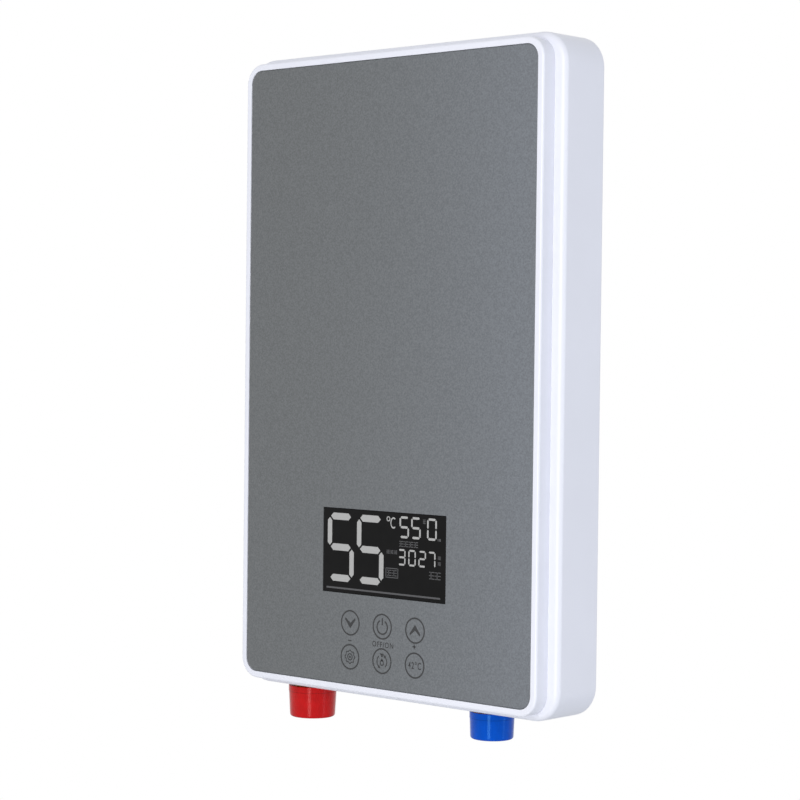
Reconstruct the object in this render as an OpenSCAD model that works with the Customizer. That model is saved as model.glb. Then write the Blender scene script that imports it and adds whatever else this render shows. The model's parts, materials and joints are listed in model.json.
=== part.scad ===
// Instant electric water heater for a wall: white case, grey glass front, two water columns inside.
// Lengths are in millimetres. X runs to the right seen from the front, Y into the wall, Z up.
// The origin is the middle of the back face. A depth is a distance in front of the wall.

/* [Case] */
// Width of the rear housing
case_w = 218; // [212:1:236]
// Height of the rear housing
case_h = 338; // [332:1:370]
// Depth of the case, from the wall to the front rim
case_d = 40.5; // [40:0.5:48]
// Wall of the rear housing
case_wall = 2.5; // [2:0.1:2.8]
// Corner radius of the rear housing
case_corner = 16; // [14:0.5:20]
// Rounding of the housing's front edge
case_edge = 3.2; // [2:0.1:4]
// Rounding of the housing's back edge
back_edge = 1; // [0.5:0.1:1.5]
// Thickness of the ledge that carries the front cover
lip_t = 2.5; // [2:0.1:3]
// Rim of the rear housing round the back plate
back_rim = 1.2; // [1:0.1:1.5]

/* [Front cover] */
// Ledge that shows beside the front cover
ledge_side = 6.35; // [5:0.05:8]
// Ledge that shows above and below the front cover
ledge_end = 3.2; // [3:0.05:5]
// Rise of the front cover above the ledge
cover_rise = 9; // [8.5:0.1:10]
// Corner radius of the front cover
cover_corner = 11; // [10:0.5:13]
// Rounding of the front rim
cover_edge = 1.3; // [0.8:0.1:1.8]
// Wall of the front cover where it stands on the ledge
cover_wall = 2.5; // [2:0.1:3]
// Plate behind the glass
cover_plate = 2; // [1.6:0.1:2.4]
// Rim beside the glass
rim = 3.8; // [3:0.1:5]
// Skirt that reaches into the housing
skirt_len = 2.2; // [1.5:0.1:2.3]
// Wall of the skirt
skirt_wall = 1.6; // [1.2:0.1:2]

/* [Front panel] */
// Thickness of the glass
glass_t = 4; // [3:0.1:4.5]
// Corner radius of the glass
glass_corner = 7; // [5:0.5:8]
// Step from the rim down to the glass
glass_inset = 0.2; // [0:0.1:0.5]
// Thickness of the adhesive frame
tape_t = 0.5; // [0.3:0.1:0.8]
// Width of the adhesive frame
tape_w = 5; // [4:0.5:8]
// Middle of the display and of the keys, along X
display_x = 1; // [-4:0.5:4]
// Middle of the display, above the lower edge of the case
display_up = 76.5; // [75:0.5:84]
// Width of the display window
display_w = 85.3; // [80:0.1:88]
// Height of the display window
display_h = 44; // [40:0.5:46]
// Ledge behind the edge of the display window
window_lip = 2; // [1:0.5:3]
// Upper row of keys, above the lower edge of the case
key_up = 39.2; // [38:0.2:41]
// Step between the two rows of keys
key_step_z = 17.8; // [15:0.2:19]
// Step between the columns of keys
key_step_x = 22.6; // [18:0.2:26]
// Diameter of a touch pad
pad_d = 8; // [6:0.5:10]
// Room round a touch pad
pad_gap = 0.4; // [0.2:0.1:0.8]

/* [Control board] */
// Width of the display module and of its board
lcd_w = 90; // [90:0.5:92]
// Height of the display module
lcd_h = 50; // [48:0.5:52]
// Thickness of the display module
lcd_t = 4; // [3:0.1:4.5]
// Thickness of every circuit board
board_t = 1.6; // [1.2:0.1:2]
// Margin of the control board past the display module and the keys
board_margin = 9; // [9:0.5:11]
// Diameter of the posts that carry a circuit board
board_post_d = 7; // [6:0.5:8]
// Distance of a board's screws from its edges
board_inset = 4.5; // [4:0.5:5]
// Distance of the control board's screws from its sides
control_inset = 12; // [11:0.5:14]

/* [Water connections] */
// Distance of the hot outlet from the left side of the case
outlet_in = 37; // [37:0.5:40]
// Distance of the cold inlet from the right side of the case
inlet_in = 54; // [51:0.5:55]
// Depth of the water axes in front of the wall
axis_depth = 16; // [16:0.25:17]
// Outer diameter of the male thread
thread_d = 20.955; // [20.5:0.005:21.2]
// Root diameter of the male thread
thread_root_d = 18.631; // [18:0.001:19]
// Pitch of the thread
thread_pitch = 1.814; // [1.5:0.001:2]
// Length of thread below the case
thread_len = 11.5; // [10:0.5:11.5]
// Water bore of a connection
fitting_bore = 13; // [11:0.5:14]
// Width across the flats of the collar inside the case
hex_af = 25; // [24.5:0.1:25.4]
// Thickness of that collar
hex_t = 5; // [4:0.5:6]
// Diameter of the spigots that the columns slide on
spigot_d = 19.4; // [19.2:0.1:19.4]
// Length of a spigot
spigot_len = 14; // [12:0.5:16]
// Thickness of the ring under the strainer
filter_rim_t = 1; // [0.6:0.1:1]
// Length of the strainer
filter_len = 9; // [6:0.5:12]
// Rings of holes in the strainer, round the one in its middle
filter_rings = 2; // [1:1:2]
// Step between those rings
filter_step = 2; // [1.8:0.1:2.1]
// Diameter of a hole in the strainer
filter_hole_d = 1.3; // [1:0.1:1.5]
// Width of the rib above a connection's collar
yoke_w = 31; // [30:0.5:32]
// Thickness of that rib
yoke_t = 3; // [2:0.5:4]

/* [Caps] */
// Diameter of the red cap at its collar
red_cap_d = 26.2; // [24:0.1:27]
// Diameter of the blue cap at its collar
blue_cap_d = 23.1; // [22.8:0.1:25]
// Reach of the red cap below the case
red_cap_reach = 17.8; // [16:0.1:20]
// Reach of the blue cap below the case
blue_cap_reach = 14.6; // [14.4:0.1:20]
// Gap between the case and the red cap
red_cap_gap = 0.8; // [0.6:0.1:2.5]
// Gap between the case and the blue cap
blue_cap_gap = 0.8; // [0.5:0.1:2]
// Height of the collar of a cap
collar_h = 3.2; // [2:0.1:4]
// Step below the collar
collar_step = 0.15; // [0.1:0.05:0.25]
// How much narrower the red cap is at its base, on the radius
red_cap_draft = 0.75; // [0.1:0.05:0.9]
// How much narrower the blue cap is at its base, on the radius
blue_cap_draft = 0.4; // [0.1:0.05:0.4]
// Rounding of a cap's base
cap_round = 1.2; // [0.6:0.1:1.6]
// Floor of a cap
cap_floor = 1; // [0.8:0.1:1.2]

/* [Columns] */
// Outer diameter of a water column
tube_d = 22; // [21.8:0.1:22.4]
// Wall of a water column
tube_wall = 1; // [0.8:0.1:1]
// Thickness of an O-ring
seal_t = 1.6; // [1.4:0.1:1.6]
// Space between the crossover's top and the inner top of the case
head_room = 20.5; // [19:0.5:24]
// Height of the crossover block
head_h = 24; // [22:0.5:28]
// Diameter of the crossover's ends
head_d = 26; // [24:0.5:26]
// Depth of the bar between the crossover's ends
bar_d = 18.2; // [16:0.1:19]
// Diameter of the channel in the crossover
channel_d = 12; // [8:0.5:13]
// Diameter of a heating rod
rod_d = 8; // [6:0.5:9]
// Length of a heating rod below the crossover
rod_len = 190; // [120:5:200]
// Thread diameter of a heating rod's plug
plug_d = 10; // [9:0.5:11]
// Width across the flats of a heating rod's collar
plug_af = 18; // [16:0.5:20]
// Thickness of that collar
collar_t = 4; // [3:0.5:5]
// Thickness of the washer under that collar
washer_t = 1; // [0.8:0.1:1.5]
// Height of the insulator above that collar
insulator_h = 4; // [3:0.5:5]
// Height of the stud above that collar
stud_h = 11; // [10:0.5:12]
// Diameter of the stud
stud_d = 4; // [3:0.5:5]

/* [Column clips] */
// Width of a clip along the column
clip_w = 10; // [8:0.5:12]
// Thickness of the clip strip
clip_t = 1.25; // [1:0.05:1.5]
// Distance from the column's axis to a clip screw
clip_reach = 17; // [17:0.25:17.5]
// Diameter of the posts under a clip
clip_post_d = 8; // [7:0.5:8.5]
// Height of the lower pair of clips, above the case's middle
clip_low = -40; // [-50:1:-35]
// Height of the upper pair of clips, above the case's middle
clip_high = 85; // [80:1:88]
// Width of the rest behind a column
rest_w = 6; // [4:0.5:8]

/* [Flow sensor] */
// Diameter of the flow sensor's body
flow_d = 24; // [23.6:0.1:25]
// Diameter of the rotor chamber
chamber_d = 18; // [17:0.5:18.5]
// Length of the rotor
rotor_len = 15; // [12:0.5:18]
// Thickness of the guide and of the upper bars
guide_t = 3; // [2:0.5:4]
// Height of the neck above the rotor chamber
neck_h = 14; // [13:0.5:18]
// Diameter of the rotor's axle
axle_d = 2; // [1.6:0.1:2.4]
// Wall of the rotor's hub
hub_wall = 2; // [1.5:0.1:2.5]
// Number of blades
blades = 6; // [4:1:8]
// Thickness of a blade
blade_t = 1.2; // [0.8:0.1:1.6]
// Lean of the blades, in degrees
blade_tilt = 30; // [15:1:40]
// Height of the rotor's magnet
magnet_h = 4; // [3:0.5:5]
// Diameter of the rotor's magnet
magnet_d = 10.8; // [9:0.2:12]
// Diameter of the ring of water holes above the rotor
upper_ring_d = 7.8; // [7.4:0.1:8.2]
// Diameter of the water holes above the rotor
upper_hole_d = 3.2; // [2.6:0.1:3.4]
// Diameter of the ring of water holes below the rotor
lower_ring_d = 10; // [9:0.2:11]
// Diameter of the water holes below the rotor
lower_hole_d = 3.6; // [3:0.1:4]
// Room round the rotor
rotor_gap = 0.6; // [0.4:0.1:1]
// Diameter of the temperature probes
probe_d = 4; // [3:0.5:5]
// Reach of the cold water's probe
probe_len = 10; // [7:0.5:11]
// Diameter of a probe's head
probe_head_d = 8; // [7:0.5:9]
// Height of a probe's head
probe_head_h = 6; // [5:0.5:7]
// Width of the rotor's sensor
hall_w = 10; // [8:0.5:12]
// Height of the rotor's sensor
hall_h = 12; // [10:0.5:14]
// Thickness of the rotor's sensor
hall_t = 4; // [3:0.5:5]

/* [Switches] */
// Length of the heat sink along the cold column
sink_len = 50; // [46:1:60]
// Foot of the heat sink, above the case's middle
sink_z = -5; // [-20:1:10]
// Reach of the heat sink to the right of the column's axis
sink_reach = 17; // [15:0.5:20]
// Depth of the heat sink and of the saddle
sink_w = 25; // [24:0.5:26]
// Wall of the heat sink and of the saddle past the column
sink_back = 2; // [1.5:0.1:3]
// Thickness of a switch
triac_t = 4.6; // [4:0.1:5]
// Width of a switch
triac_w = 16; // [14:0.5:18]
// Height of a switch
triac_h = 20; // [16:0.5:22]
// Distance of a switch from the foot of its half of the heat sink
triac_margin = 2; // [1:0.5:3]
// Thickness of the saddle under the cut-out
saddle_t = 4; // [3:0.5:4.5]
// Height of the cut-out, above the case's middle
cutout_z = 35; // [0:1:60]
// Diameter of the cut-out
cutout_d = 16; // [14:0.5:18]
// Length of the cut-out
cutout_len = 9; // [8:0.5:10]
// Diameter of the reset button
button_d = 5; // [4:0.5:6]
// Reach of the reset button at rest
button_reach = 3; // [2:0.1:3.5]
// Wall of the cut-out round the reset button
cutout_shell = 1; // [0.8:0.1:1.2]
// Thickness of the reset button's flange
flange_t = 1.5; // [1:0.1:2]
// Step from the reset button to its flange, on the radius
flange_step = 0.4; // [0.3:0.1:0.6]
// Length of the reset button past its flange
button_tail = 1.2; // [0.5:0.1:1.4]
// Length of a blade terminal of the cut-out
blade_len = 6; // [5:0.5:7]
// Width of a blade terminal
blade_w = 5; // [4:0.5:6.3]
// Thickness of a blade terminal
blade_sheet = 0.8; // [0.6:0.1:1]

/* [Power board] */
// Room between the power board and the posts of the clips beside it
power_gap = 2; // [1:0.5:4]
// Lower edge of the power board, above the case's middle
power_z = -30; // [-32:1:-20]
// Height of the power board
power_h = 130; // [120:1:132]
// Height of the posts under the power board
power_post_h = 6; // [5:0.5:8]
// Width of a relay
relay_w = 18; // [16:0.5:20]
// Height of a relay
relay_h = 28; // [24:0.5:30]
// Depth of a relay
relay_d = 17; // [15:0.5:18]
// Foot of the relays, above the lower edge of the power board
relay_up = 44; // [43:0.5:48]
// Step between the relays
relay_step = 22; // [21:0.5:24]
// Diameter of a capacitor
can_d = 12; // [10:0.5:14]
// Height of a capacitor
can_h = 18; // [14:0.5:20]
// Middle of the capacitors, from the left edge of the power board
can_x = 12; // [10:0.5:13]
// Middle of the lower capacitor, above the lower edge of the power board
can_up = 20; // [18:0.5:21]
// Step between the capacitors
can_step = 16; // [15:0.5:17]
// Width of the transformer
coil_former_w = 30; // [26:0.5:32]
// Height of the transformer
coil_former_h = 24; // [20:0.5:26]
// Depth of the transformer
coil_former_d = 16; // [14:0.5:18]
// Middle of the transformer, from the right edge of the power board
coil_former_in = 20; // [18:0.5:21]
// Middle of the transformer, below the upper edge of the power board
coil_former_down = 26; // [24:0.5:28]
// Outer diameter of the leakage coil
coil_d = 20; // [19:0.5:21]
// Hole of the leakage coil
coil_hole_d = 11; // [10:0.5:12]
// Length of the leakage coil
coil_h = 10; // [8:0.5:11]
// Foot of the leakage coil, above the lower edge of the power board
coil_up = 12; // [10:0.5:13]
// Room between the leakage coil and the board
coil_lift = 0.5; // [0.3:0.1:1]
// Width of the leakage coil's foot
coil_foot = 12; // [10:0.5:14]
// Diameter of the heavy wires
wire_d = 3.6; // [3:0.1:4]
// Width of the ribbon cable
ribbon_w = 14; // [10:0.5:15]
// Thickness of the ribbon cable
ribbon_t = 1; // [0.6:0.1:1.2]
// Thickness of the ribbon cable's plugs
ribbon_plug_t = 4; // [3:0.5:5]
// Height of the ribbon cable's plugs
ribbon_plug_h = 8; // [6:0.5:9]

/* [Supply] */
// Middle of the terminal block, above the lower edge of the case
terminal_up = 69; // [66:1:76]
// Depth of the terminal block
terminal_d = 18; // [14:0.5:19]
// Height of the terminal block
terminal_h = 24; // [22:0.5:26]
// Step between the terminals
terminal_step = 14; // [13:0.5:16]
// Margin of the terminal block past the outer terminals' share
terminal_margin = 2; // [1:0.5:3]
// Depth of the wells of the terminal screws
well_d = 4; // [3:0.5:5]
// Room round the heads in those wells
well_gap = 1; // [0.6:0.1:1.4]
// Middle of the cable grommet, above the lower edge of the case
grommet_up = 31; // [28:1:36]
// Bore of the cable grommet
grommet_bore = 10; // [8:0.5:12]
// Hole in the back wall for the grommet
grommet_d = 16; // [15:0.5:18]
// Flange of the grommet past that hole
grommet_flange = 3; // [2:0.5:4]
// Thickness of that flange
grommet_flange_t = 2; // [1.5:0.1:3]

/* [Wall fixing] */
// Distance of the keyholes from the sides of the case
keyhole_in = 17; // [16:0.5:18]
// Height of the keyholes' entries, above the case's middle
keyhole_z = 105; // [103:0.5:107]
// Diameter of a keyhole's entry
keyhole_d = 9; // [8:0.5:9.5]
// Width of a keyhole's slot
keyslot_w = 4.6; // [4:0.1:5.2]
// Rise of a keyhole's slot above its entry
keyslot_rise = 9; // [7:0.5:9]
// Width of a steel hanger plate
hanger_w = 22; // [20:0.5:23]
// Thickness of a hanger plate
hanger_t = 1.5; // [1.2:0.1:2]
// Margin of the back plate's window round a keyhole
hanger_window = 3; // [2:0.5:3.5]
// Diameter of the stakes that hold a hanger plate
stake_d = 3; // [2.5:0.1:3.2]
// Rise of a stake above its hanger plate
stake_rise = 0.8; // [0.5:0.1:1]
// Margin of a hanger plate round its stakes
stake_margin = 1; // [0.6:0.1:1.2]

/* [Screws and fits] */
// Diameter of the screws
screw_d = 3; // [2.6:0.1:3.2]
// Diameter of the screw heads
head_screw_d = 5.6; // [5:0.1:6]
// Height of the screw heads
head_screw_h = 2; // [1.5:0.1:2.2]
// Depth at which the two shells meet at their screws
post_len = 20; // [18:0.5:22]
// Thickness of a post under the head of its screw
post_floor = 12; // [11:0.5:13]
// Length of the screws that join the two shells
cover_screw_len = 20; // [18:0.5:21]
// Length of the short screws
short_screw_len = 8; // [6:0.5:9]
// Distance of the shells' screws from the cover's edges
post_inset = 10.5; // [10:0.5:11]
// Wall of a post round the head of its screw
post_wall = 2; // [1.6:0.1:2.4]
// Step from a post to the boss that it meets, on the radius
boss_step = 1; // [0.5:0.1:1.2]
// Room round a screw
screw_gap = 0.1; // [0.05:0.05:0.2]
// Room between shells and panels that fit into each other
fit_gap = 0.2; // [0.1:0.05:0.3]
// Room between a cap and the thread
cap_fit = 0.1; // [0.1:0.05:0.2]
// Running room of the rotor and of the reset button
run_gap = 0.05; // [0.03:0.01:0.1]

/* [Hidden] */
$fn = 64;
over = 1;
ledge_depth = case_d - cover_rise;
cover_w = case_w - 2 * ledge_side;
cover_h = case_h - 2 * ledge_end;
glass_w = cover_w - 2 * rim;
glass_h = cover_h - 2 * rim;
mouth_w = cover_w - 2 * cover_wall;
mouth_h = cover_h - 2 * cover_wall;
mouth_corner = cover_corner - cover_wall;
glass_front = case_d - glass_inset;
glass_back = glass_front - glass_t;
plate_front = glass_back - tape_t;
plate_back = plate_front - cover_plate;
board_front = plate_back - lcd_t;
board_back = board_front - board_t;
base_z = -case_h / 2;
outlet_x = outlet_in - case_w / 2;
inlet_x = case_w / 2 - inlet_in;
keyhole_x = case_w / 2 - keyhole_in;
keyhole_low = keyhole_z - keyhole_d / 2;
keyhole_top = keyhole_z + keyslot_rise + keyslot_w / 2;
hanger_z = (keyhole_low + keyhole_top) / 2;
window_h = keyhole_top - keyhole_low + 2 * hanger_window;
stake_out = window_h / 2 + stake_margin + stake_d / 2;
hanger_h = 2 * stake_out + stake_d + 2 * stake_margin;
hanger_front = case_wall + hanger_t;
back_w = case_w - 2 * back_rim - 2 * fit_gap;
back_h = case_h - 2 * back_rim - 2 * fit_gap;
back_corner = case_corner - back_rim - fit_gap;
terminal_x = (outlet_x + inlet_x) / 2;
power_x = outlet_x + clip_reach + clip_post_d / 2 + power_gap;
power_w = 2 * (terminal_x - power_x);
relay_x = terminal_x - relay_step / 2;
floor_z = base_z + case_wall;
roof_z = case_h / 2 - case_wall;
display_z = base_z + display_up;
key_z = base_z + key_up;
board_top = display_z + lcd_h / 2 + board_margin;
board_low = key_z - key_step_z - board_margin;
post_x = cover_w / 2 - post_inset;
post_z = cover_h / 2 - post_inset;
post_d = head_screw_d + 2 * post_wall;
boss_d = post_d - 2 * boss_step;
head_seat = post_len - post_floor;
hex_top = floor_z + hex_t;
mouth_z = base_z - thread_len;
tube_gap = (tube_d - 2 * tube_wall - spigot_d) / 2;
groove_r = tube_d / 2 - tube_wall - seal_t - 2 * run_gap;
seal_r = groove_r + run_gap + seal_t / 2;
socket_top = hex_top + spigot_len + 2 * run_gap;
chamber_top = socket_top + guide_t + rotor_len + 4 * run_gap;
flow_top = chamber_top + neck_h;
rotor_low = socket_top + guide_t + 2 * run_gap;
hall_z = chamber_top - hall_h;
probe_z = chamber_top + guide_t + (neck_h - guide_t) / 2;
head_top = roof_z - head_room;
head_low = head_top - head_h;
channel_z = head_low + head_h / 2;
plug_low = head_top + washer_t;
stud_z = plug_low + collar_t + stud_h - stud_d;
clip_front = axis_depth + clip_t;
power_front = case_wall + power_post_h + board_t;
wire_depth = power_front + coil_lift + coil_d / 2;
wire_lead = 6;
ribbon_x = (terminal_x + power_x + power_w - ribbon_w) / 2;
terminal_z = base_z + terminal_up;
terminal_front = case_wall + terminal_d;
well_seat = terminal_front - well_d;
relay_z = power_z + relay_up;
grommet_z = base_z + grommet_up;
cutout_x = outlet_x - tube_d / 2 - saddle_t;
flange_d = button_d + 2 * flange_step;
clip_zs = [clip_low, clip_high];
sides = [-1, 1];

// Shapes that several sub-parts share

function arc(x, y, r, from, to, steps) = r > 0
    ? [for (i = [0:steps]) let (a = from + (to - from) * i / steps) [x + r * cos(a), y + r * sin(a)]]
    : [[x, y]];

module rounded(w, h, r) {
    square([w - 2 * r, h], center = true);
    square([w, h - 2 * r], center = true);
    for (sx = sides, sz = sides)
        translate([sx * (w / 2 - r), sz * (h / 2 - r)]) circle(r);
}

// A flat outline, drawn as seen from the front, filled from one depth to another
module slab(from, to) {
    translate([0, -from, 0]) rotate([90, 0, 0]) linear_extrude(to - from) children();
}

module peg(x, z, from, to, d) {
    translate([x, -from, z]) rotate([90, 0, 0]) cylinder(h = to - from, d = d);
}

module block(x, z, w, h, from, to) {
    slab(from, to) translate([x, z]) square([w, h], center = true);
}

// A slab whose back and front edges are rounded all the way round
module soft_slab(w, h, corner, from, to, back_r, front_r) {
    section = concat([[0, 0]], arc(corner - back_r, back_r, back_r, -90, 0, 3),
        arc(corner - front_r, to - from - front_r, front_r, 0, 90, 6), [[0, to - from]]);
    hull()
        for (sx = sides, sz = sides)
            translate([sx * (w / 2 - corner), -from, sz * (h / 2 - corner)])
                rotate([90, 0, 0]) rotate_extrude($fn = 48) polygon(section);
}

// A screw whose head sits at a depth. A positive reach points to the front, a negative one to the wall
module screw(x, z, seat, reach) {
    translate([x, -seat, z]) rotate([reach > 0 ? 90 : -90, 0, 0]) {
        translate([0, 0, -head_screw_h / 2]) cylinder(h = abs(reach) + head_screw_h / 2, d = screw_d);
        translate([0, 0, -head_screw_h]) cylinder(h = head_screw_h, d = head_screw_d);
    }
}

module screw_hole(x, z, seat, reach) {
    translate([x, -seat, z]) rotate([reach > 0 ? 90 : -90, 0, 0])
        translate([0, 0, -over]) cylinder(h = abs(reach) + 2 * over, d = screw_d + 2 * screw_gap);
}

module on_axis(x) {
    translate([x, -axis_depth, 0]) children();
}

module upright(from, to, d) {
    translate([0, 0, from]) cylinder(h = to - from, d = d);
}

// A spigot with an O-ring groove, growing up or down from a height
module spigot(z, up) {
    mirror([0, 0, up > 0 ? 0 : 1]) translate([0, 0, up * z]) difference() {
        upright(-over, spigot_len, spigot_d);
        upright(spigot_len / 2 - seal_t / 2 - run_gap, spigot_len / 2 + seal_t / 2 + run_gap,
            spigot_d + over);
    }
    mirror([0, 0, up > 0 ? 0 : 1]) translate([0, 0, up * z]) upright(-over, spigot_len, 2 * groove_r);
}

module seal(x, z) {
    on_axis(x) translate([0, 0, z]) rotate_extrude() translate([seal_r, 0]) circle(d = seal_t, $fn = 24);
}

// A round wire of eight sides along a route of points, each ring square to the route
module wire(route, d) {
    last = len(route) - 1;
    n = 8;
    lean = [0.31, 0.17, 0.93];
    heading = [for (i = [0:last]) let (v = route[min(i + 1, last)] - route[max(i - 1, 0)]) v / norm(v)];
    rings = [for (i = [0:last])
        let (side = cross(heading[i], lean), u = side / norm(side), v = cross(heading[i], u))
        for (k = [0:n - 1]) route[i] + d / 2 * (cos(360 * k / n) * u + sin(360 * k / n) * v)];
    skin = [for (i = [0:last - 1], k = [0:n - 1])
        let (a = i * n + k, b = i * n + (k + 1) % n)
        each [[a, b, b + n], [a, b + n, a + n]]];
    ends = [for (k = [1:n - 2]) each [[0, k + 1, k], [last * n, last * n + k, last * n + k + 1]]];
    polyhedron(points = rings, faces = [for (f = concat(skin, ends)) [f[2], f[1], f[0]]]);
}

// Case

module stake_places(x) {
    for (s = sides)
        translate([x, 0, hanger_z + s * stake_out]) children();
}

module clip_places() {
    for (x = [outlet_x, inlet_x], z = clip_zs, s = sides)
        translate([x + s * clip_reach, 0, z]) children();
}

module power_places() {
    for (x = [power_x + board_inset, power_x + power_w - board_inset],
         z = [power_z + board_inset, power_z + power_h - board_inset])
        translate([x, 0, z]) children();
}

module control_places() {
    for (s = sides, z = [board_low + board_inset, board_top - board_inset])
        translate([display_x + s * (lcd_w / 2 - control_inset), 0, z]) children();
}

module key_places() {
    for (column = [-1:1], row = [0:1])
        translate([display_x + column * key_step_x, 0, key_z - row * key_step_z]) children();
}

// Rib above a connection's collar that keeps it from being pushed in
module yoke(x, d) {
    z = hex_top + fit_gap;
    difference() {
        translate([x - yoke_w / 2, -axis_depth, z])
            cube([yoke_w, axis_depth - case_wall, yoke_t]);
        on_axis(x) upright(z - over, z + yoke_t + over, d + 2 * fit_gap);
    }
}

// Sides and ledge of the case. A step inside its back rim takes the back plate
module rear_housing() color("ghostwhite") difference() {
    soft_slab(case_w, case_h, case_corner, 0, ledge_depth, back_edge, case_edge);
    slab(-over, case_wall)
        rounded(back_w + 2 * fit_gap, back_h + 2 * fit_gap, back_corner + fit_gap);
    slab(-over, ledge_depth - lip_t)
        rounded(case_w - 2 * case_wall, case_h - 2 * case_wall, case_corner - case_wall);
    slab(ledge_depth - lip_t - over, ledge_depth + over) rounded(mouth_w, mouth_h, mouth_corner);
    for (x = [outlet_x, inlet_x])
        on_axis(x) upright(base_z - over, floor_z + over / 2, thread_d + 2 * fit_gap);
}

// Flat back, drawn against the step by the screws that join it to the front cover
module back_plate() color("ghostwhite") difference() {
    union() {
        slab(0, case_wall) rounded(back_w, back_h, back_corner);
        for (sx = sides, sz = sides)
            peg(sx * post_x, sz * post_z, case_wall / 2, post_len, post_d);
    }
    for (sx = sides, sz = sides) {
        peg(sx * post_x, sz * post_z, -over, head_seat, head_screw_d + 4 * screw_gap);
        screw_hole(sx * post_x, sz * post_z, head_seat, cover_screw_len);
    }
    for (s = sides)
        block(s * keyhole_x, hanger_z, keyhole_d + 2 * hanger_window, window_h, -over, case_wall + over);
    peg(terminal_x, grommet_z, -over, case_wall + over, grommet_d);
}

// Posts, rests, ribs and stakes welded to the back plate
module inner_posts() color("ghostwhite") {
    difference() {
        clip_places() peg(0, 0, case_wall, axis_depth, clip_post_d);
        clip_places() screw_hole(0, 0, clip_front, -short_screw_len - clip_t);
    }
    difference() {
        power_places() peg(0, 0, case_wall, case_wall + power_post_h, board_post_d);
        power_places() screw_hole(0, 0, power_front, case_wall - power_front + 2 * over);
    }
    for (x = [outlet_x, inlet_x], z = clip_zs)
        block(x, z, rest_w, clip_w, case_wall, axis_depth - tube_d / 2 - fit_gap);
    yoke(outlet_x, tube_d);
    yoke(inlet_x, flow_d);
    for (s = sides)
        stake_places(s * keyhole_x) peg(0, 0, case_wall, hanger_front + stake_rise, stake_d);
}

// Steel plate with a keyhole for a wall screw
module hanger(x) difference() {
    block(x, hanger_z, hanger_w, hanger_h, case_wall, hanger_front);
    peg(x, keyhole_z, case_wall - over, hanger_front + over, keyhole_d);
    peg(x, keyhole_z + keyslot_rise, case_wall - over, hanger_front + over, keyslot_w);
    block(x, keyhole_z + keyslot_rise / 2, keyslot_w, keyslot_rise, case_wall - over, hanger_front + over);
    stake_places(x) peg(0, 0, case_wall - over, hanger_front + over, stake_d + 2 * screw_gap);
}

module left_hanger() color("silver") hanger(-keyhole_x);

module right_hanger() color("silver") hanger(keyhole_x);

module front_cover() color("white") difference() {
    union() {
        difference() {
            union() {
                soft_slab(cover_w, cover_h, cover_corner, ledge_depth, case_d, 0, cover_edge);
                slab(ledge_depth - skirt_len, ledge_depth + over)
                    rounded(mouth_w - 2 * fit_gap, mouth_h - 2 * fit_gap, mouth_corner - fit_gap);
            }
            slab(plate_front, case_d + over)
                rounded(glass_w + 2 * fit_gap, glass_h + 2 * fit_gap, glass_corner + fit_gap);
            slab(ledge_depth - skirt_len - over, plate_back)
                rounded(mouth_w - 2 * fit_gap - 2 * skirt_wall, mouth_h - 2 * fit_gap - 2 * skirt_wall,
                    mouth_corner - fit_gap - skirt_wall);
        }
        for (sx = sides, sz = sides)
            peg(sx * post_x, sz * post_z, post_len, plate_back + cover_plate / 2, boss_d);
        control_places() peg(0, 0, board_front, plate_back + cover_plate / 2, board_post_d);
    }
    control_places() screw_hole(0, 0, board_back, board_t + lcd_t - 2 * over);
    for (sx = sides, sz = sides)
        screw_hole(sx * post_x, sz * post_z, head_seat, cover_screw_len);
    key_places() peg(0, 0, plate_back - over, plate_front + over, pad_d + 2 * pad_gap);
    block(display_x, display_z, display_w - 2 * window_lip, display_h - 2 * window_lip,
        plate_back - over, plate_front + over);
}

// Front panel

module glass_panel() color("slategray") difference() {
    slab(glass_back, glass_front) rounded(glass_w, glass_h, glass_corner);
    block(display_x, display_z, display_w + 2 * fit_gap, display_h + 2 * fit_gap,
        glass_back - over, glass_front + over);
}

module display_lens() color("black")
    block(display_x, display_z, display_w, display_h, glass_back, glass_front);

module panel_tape() color("dimgray") {
    slab(plate_front, glass_back) difference() {
        rounded(glass_w, glass_h, glass_corner);
        square([glass_w - 2 * tape_w, glass_h - 2 * tape_w], center = true);
    }
    slab(plate_front, glass_back) translate([display_x, display_z]) difference() {
        square([display_w + tape_w, display_h + tape_w], center = true);
        square([display_w - 2 * window_lip, display_h - 2 * window_lip], center = true);
    }
}

module lcd_module() color("darkslategray")
    block(display_x, display_z, lcd_w, lcd_h, board_front, plate_back);

module control_board() color("seagreen") difference() {
    block(display_x, (board_top + board_low) / 2, lcd_w, board_top - board_low,
        board_back, board_front);
    control_places() screw_hole(0, 0, board_back, board_t);
}

module touch_pads() color("gray")
    key_places() peg(0, 0, board_front, glass_back, pad_d);

module control_screws() color("silver")
    control_places() screw(0, 0, board_back, board_t + lcd_t - 2 * over);

// Water connections

module water_fitting(x, tint) {
    turns = floor((thread_len - thread_pitch) / thread_pitch);
    threads = [for (i = [0:turns - 1]) let (z = mouth_z + (i + 0.5) * thread_pitch)
        each [[thread_root_d / 2, z], [thread_d / 2, z + thread_pitch / 2]]];
    shank = concat([[0, mouth_z], [thread_root_d / 2, mouth_z]], threads,
        [[thread_root_d / 2, mouth_z + (turns + 0.5) * thread_pitch],
         [thread_d / 2, mouth_z + (turns + 1) * thread_pitch],
         [thread_d / 2, floor_z + over], [0, floor_z + over]]);
    color(tint) on_axis(x) difference() {
        union() {
            rotate_extrude() polygon(shank);
            translate([0, 0, floor_z]) cylinder(h = hex_t, d = hex_af / cos(30), $fn = 6);
            spigot(hex_top, 1);
        }
        upright(mouth_z - over, hex_top + spigot_len + over, fitting_bore);
    }
}

module outlet_fitting() water_fitting(outlet_x, "goldenrod");

module inlet_fitting() water_fitting(inlet_x, "goldenrod");

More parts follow.
